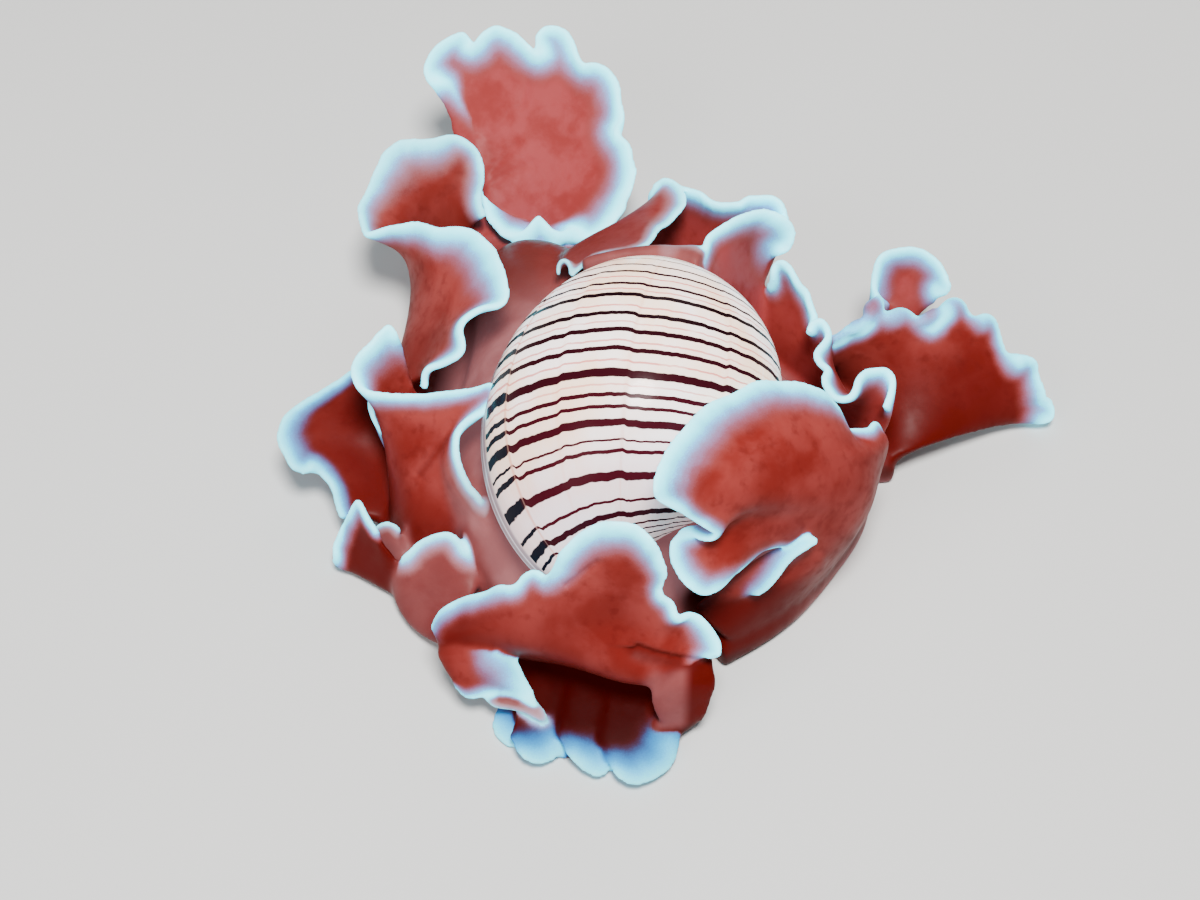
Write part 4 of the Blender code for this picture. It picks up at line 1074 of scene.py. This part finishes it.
def skin_shape():
    """One closed skin over all the flesh, its joins faired and its margins kept thin."""
    raw = mesh_object("skin_raw", np.concatenate(skin_points), skin_faces, 1.0)
    remesh = raw.modifiers.new("skin", "REMESH")
    remesh.mode = "VOXEL"
    remesh.voxel_size = SKIN_VOXEL
    bpy.context.view_layer.update()
    wrapped = raw.evaluated_get(bpy.context.evaluated_depsgraph_get()).to_mesh()
    points = np.empty(len(wrapped.vertices) * 3)
    wrapped.vertices.foreach_get("co", points)
    points = points.reshape(-1, 3)
    edges = np.empty(len(wrapped.edges) * 2, np.int64)
    wrapped.edges.foreach_get("vertices", edges)
    edges = edges.reshape(-1, 2)
    faces = [tuple(f.vertices) for f in wrapped.polygons]
    bpy.data.objects.remove(raw)
    samples = np.concatenate(lobe_samples)
    notes = np.concatenate(lobe_notes)
    tree = KDTree(len(samples))
    for k, sample in enumerate(samples):
        tree.insert(sample, k)
    tree.balance()
    found = np.array([tree.find(point)[1:] for point in points])
    nearest, away = found[:, 0].astype(int), found[:, 1]
    near, half, azure, tail, mauve, deep = notes[nearest].T
    rim = near + np.maximum(0, away - half - RIM_HOLD) * RIM_LOSS
    mantle = np.maximum(mauve, np.clip((away - BODY_START) / (BODY_FULL - BODY_START), 0, 1))
    calm = np.clip((rim - CALM_START) / CALM_WIDE, 0, 1)
    points = neighbour_mean(points, edges, MARGIN_EASE + FURTHER_EASE * calm, MARGIN_ROUNDS)
    points = neighbour_mean(points, edges, JOIN_EASE * calm, JOIN_ROUNDS)
    points, depth = creased(points)
    points[:, 2] = np.maximum(points[:, 2], 0.0)
    skin = mesh_object("flesh_skin", points, faces)
    share = np.full(len(points), 0.5)
    note(skin, "rim", neighbour_mean(np.minimum(rim, RIM_LIMIT)[:, None], edges, share, RIM_ROUNDS)[:, 0])
    note(skin, "crease", depth)
    for name, values in (("azure", azure), ("tail", tail), ("mantle", mantle), ("deep", deep)):
        note(skin, name, neighbour_mean(values[:, None], edges, share, TONE_ROUNDS)[:, 0])
    return skin


# Colours of the rim from the margin in, as (share of its reach, colour); azure on the front scallops
RIM_STOPS = ((0.0, (0.45, 0.97, 1.0)), (0.10, (0.25, 0.95, 1.0)), (0.22, (0.15, 0.85, 1.0)),
             (0.32, (0.20, 0.58, 0.98)), (0.40, (0.28, 0.36, 0.66)), (0.48, (0.34, 0.21, 0.34)),
             (0.62, (0.32, 0.095, 0.12)), (0.80, (0.29, 0.055, 0.052)), (1.0, (0.23, 0.030, 0.024)))
AZURE_STOPS = ((0.0, (0.25, 0.90, 1.0)), (0.10, (0.10, 0.72, 0.95)), (0.28, (0.03, 0.46, 0.82)),
               (0.42, (0.012, 0.26, 0.58)), (0.54, (0.012, 0.15, 0.40)), (0.64, (0.020, 0.065, 0.19)),
               (0.74, (0.030, 0.022, 0.06)), (0.86, (0.040, 0.006, 0.010)), (1.0, (0.045, 0.002, 0.001)))
RIM_REACH = 5.2                # mm from the margin to where the rim's pale colours end
FLESH_RED = (0.19, 0.016, 0.012)
# Dark red: the skin's own dark mottles, and also the painted shade near the floor, in creases, beyond the
# shield's end and on lobes in shade
FLESH_DEEP = (0.080, 0.0028, 0.0018)
FLESH_CORAL = (0.285, 0.041, 0.035)
# Painted shade: the nearly black red under the head shield
FRONT_SHADE = (0.020, 0.0003, 0.0002)
TAIL_PINK = (0.32, 0.048, 0.050)
TAIL_ROSE = (0.25, 0.028, 0.026)
MANTLE_MAUVE = (0.15, 0.042, 0.040)
MANTLE_PALE = (0.24, 0.085, 0.082)
MANTLE_RED = (0.13, 0.022, 0.018)
RIM_LILAC = (0.30, 0.27, 0.31)
# Painted light: colours of the skin's glow on the rims, the mantle beside the shell and under the head
RIM_PAINTED_GLOW = (0.08, 0.75, 1.0)
MANTLE_PAINTED_GLOW = (0.075, 0.030, 0.034)
FRONT_PAINTED_GLOW = (0.011, 0.0002, 0.0001)


def skin_finish():
    """Soft, wet, clouded red skin with pale rims, mauve where it is bare mantle beside the shell, with
    painted shade near the floor, under the head, in creases and on lobes in shade, and a painted glow.
    """
    material, shade, shader = finish_of("wet_flesh", Roughness=0.5, Coat_Weight=0.015, Coat_Roughness=0.3,
                                        Specular_IOR_Level=0.06, Subsurface_Weight=0.08,
                                        Subsurface_Radius=(1.0, 0.28, 0.2), Subsurface_Scale=0.0015,
                                        Emission_Strength=2.2)
    spot = shade.spot()
    rim = shade.reading("rim")
    azure = shade.reading("azure")
    tail = shade.reading("tail")
    mantle = shade.reading("mantle")
    clouds = shade.noise(spot, 0.16, 4.0, 0.3)
    mottle = shade.noise(spot, 0.7, 4.0)
    grain = shade.noise(spot, 2.4, 3.0)
    dust = shade.noise(spot, 6.0, 2.0)
    across, forth, height = (shade.node("SeparateXYZ", {}, {"Vector": spot}, output=k) for k in range(3))
    # Painted shade: the flesh is darkened towards the floor; it is also a little darker further in from its
    # margins
    low = 1 - height.step(1.0, 12.0)
    red = clouds.step(0.38, 0.66).blend(FLESH_RED, FLESH_CORAL)
    red = (mottle.step(0.50, 0.72) * 0.35).blend(red, FLESH_DEEP)
    red = (rim.step(4.0, 11.0) * 0.3 + low * 0.65).blend(red, FLESH_DEEP)
    # Painted shade: each lobe's deep tone darkens the flesh where that lobe lies in shade
    red = shade.reading("deep").blend(red, FLESH_DEEP)
    # The tail fan's own pink, which on lobes in shade behind the shell is painted light
    red = tail.blend(red, (clouds * 0.7 + mottle * 0.3).step(0.40, 0.62).blend(TAIL_PINK, TAIL_ROSE))
    mauve = clouds.step(0.35, 0.65).blend(MANTLE_MAUVE, MANTLE_PALE)
    behind = forth.step(14.0, 27.0)
    red = mantle.blend(red, behind.blend(mauve, MANTLE_RED))
    # Painted shade: deep red on the flesh beyond the shield's right end, which turns away into shade, and
    # nearly black red under the head, in the shield's shadow
    shield_end_shade = across.step(2.2, 3.6) * (1 - forth.step(-15.0, -12.0)) * (1 - height.step(8.6, 10.2))
    red = shield_end_shade.blend(red, FLESH_DEEP)
    beside = (across.step(-1.6, -0.4) + (1 - across.step(-12.0, -10.5))) * height.step(1.5, 3.0)
    under_head_shade = (1 - forth.step(-20.0, -16.0)) * (1 - height.step(4.0, 8.0)) * (1 - beside)
    red = under_head_shade.blend(red, FRONT_SHADE)
    # Painted shade: the flesh is darker down in the creases
    red = (shade.reading("crease").step(0.15, 0.6) * 0.7).blend(red, FLESH_DEEP)
    # The rim's colours, their reach and edge a little uneven
    width = clouds * 0.5 + 0.75
    share = (rim + (mottle - 0.5) * 0.3 + (dust - 0.5) * 0.5) / (width * RIM_REACH)
    pale = share.node("ValToRGB", {"stops": RIM_STOPS}, {"Fac": share})
    blue = share.node("ValToRGB", {"stops": AZURE_STOPS}, {"Fac": share})
    edge = (mantle * 0.7).blend(azure.blend(pale, blue), RIM_LILAC)
    shade.put(shader.inputs["Base Color"], share.step(0.6, 1.05).blend(edge, red))
    # Painted light: a weak glow of its own on the rims, on the bare mantle beside the shell and under the
    # head, standing in for light that shines through or back from the real skin
    painted_glow = (mantle * (1 - behind) * (1 - shield_end_shade)).blend((0, 0, 0), MANTLE_PAINTED_GLOW)
    painted_glow = under_head_shade.blend(painted_glow, FRONT_PAINTED_GLOW)
    painted_glow = ((1 - share.step(0.06, 0.38)) * (1 - mantle * 0.7) * (1 - azure * 0.85)).blend(painted_glow, RIM_PAINTED_GLOW)
    shade.put(shader.inputs["Emission Color"], painted_glow)
    shade.put(shader.inputs["Roughness"], mottle.step(0.3, 0.8) * 0.16 + 0.40)
    relief = mottle * 0.7 + grain * 0.3
    shade.put(shader.inputs["Normal"], relief.bump(0.3, 0.0001))
    return material


skin = skin_shape()
skin.data.materials.append(skin_finish())
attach(skin, "root")
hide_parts("foot", "foot_front_edge", "foot_ruffle_left", "foot_ruffle_right", "head_shield",
            "parapodium_left_front", "parapodium_left_mid", "parapodium_left_rear",
            "parapodium_right_front", "parapodium_right_mid", "parapodium_right_rear", "tail_fan")


# The eyes: two tiny black beads sunk in the skin between the head shield and the shell's front,
# each under a clear wet window.
EYE_RADIUS = 0.42
EYE_HEIGHT = 1.08              # its height as a share of its width
EYE_BLACK = (0.006, 0.005, 0.008)
EYE_BROWN = (0.03, 0.015, 0.015)


def eye_finish():
    """A glossy black bead, with a little brown deep in it."""
    material, shade, shader = finish_of("wet_black_eye", Roughness=0.12, Coat_Weight=0.8, Coat_Roughness=0.05)
    depth = shade.noise(shade.spot(), 6.0, 2.0).step(0.3, 0.7)
    shade.put(shader.inputs["Base Color"], depth.blend(EYE_BLACK, EYE_BROWN))
    return material


eye_material = eye_finish()
for name in ("eye_right", "eye_left"):
    low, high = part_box(name)
    middle = np.array((low + high) / 2) / MM
    bead = bmesh.new()
    bmesh.ops.create_uvsphere(bead, u_segments=32, v_segments=20, radius=1)
    shape = np.array([v.co for v in bead.verts])
    shape *= EYE_RADIUS * np.array((1.0, 1.0, EYE_HEIGHT))
    faces = [tuple(v.index for v in f.verts) for f in bead.faces]
    bead.free()
    eye = mesh_object(name + "_bead", shape + middle, faces)
    eye.data.materials.append(eye_material)
    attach(eye, "root")
    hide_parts(name)


# The floor and the studio light: a pale, matt, flat board, one large soft lamp over the model, a
# weaker one from the front on the left, one from behind, and a little light from all round.
FLOOR_HALF = 1500.0
FLOOR_DROP = 0.02              # mm below the sole, so that the two don't share a face
FLOOR_GREYS = ((0.62, 0.62, 0.61), (0.68, 0.68, 0.67))
WORLD_TINT = (0.9, 0.95, 1.0)
WORLD_STRENGTH = 0.13
LIT_PLACE = (-0.004, 0.0, 0.012)   # metres, where the lamps point


def floor_board():
    """The board that the model rests on, faintly clouded."""
    corners = [(x * FLOOR_HALF, y * FLOOR_HALF, 0) for x, y in ((-1, -1), (1, -1), (1, 1), (-1, 1))]
    board = mesh_object("floor_board", corners, [(0, 1, 2, 3)])
    board.location.z = -FLOOR_DROP * MM
    material, shade, shader = finish_of("pale_board", Roughness=0.75)
    mist = shade.noise(shade.spot(), 0.01, 3.0)
    shade.put(shader.inputs["Base Color"], mist.blend(*FLOOR_GREYS))
    board.data.materials.append(material)


def soft_lamp(name, place, size, watts, tint):
    """A round soft lamp at a place (metres), turned towards the model."""
    lamp = bpy.data.lights.new(name, "AREA")
    lamp.shape = "DISK"
    lamp.size = size
    lamp.energy = watts
    lamp.color = tint
    obj = bpy.data.objects.new(name, lamp)
    obj.location = place
    aim = Vector(LIT_PLACE) - obj.location
    obj.rotation_euler = aim.to_track_quat("-Z", "Y").to_euler()
    bpy.context.scene.collection.objects.link(obj)


floor_board()
soft_lamp("key", (0.02, -0.10, 0.46), 0.15, 4.6, (1.0, 0.98, 0.96))
soft_lamp("fill", (-0.26, -0.25, 0.26), 0.30, 0.9, (0.93, 0.97, 1.0))
soft_lamp("back", (0.12, 0.40, 0.30), 0.30, 0.5, (1.0, 0.98, 0.96))
world = bpy.data.worlds.new("studio")
world.use_nodes = True
sky = world.node_tree.nodes["Background"].inputs
sky["Color"].default_value = (*WORLD_TINT, 1)
sky["Strength"].default_value = WORLD_STRENGTH
bpy.context.scene.world = world
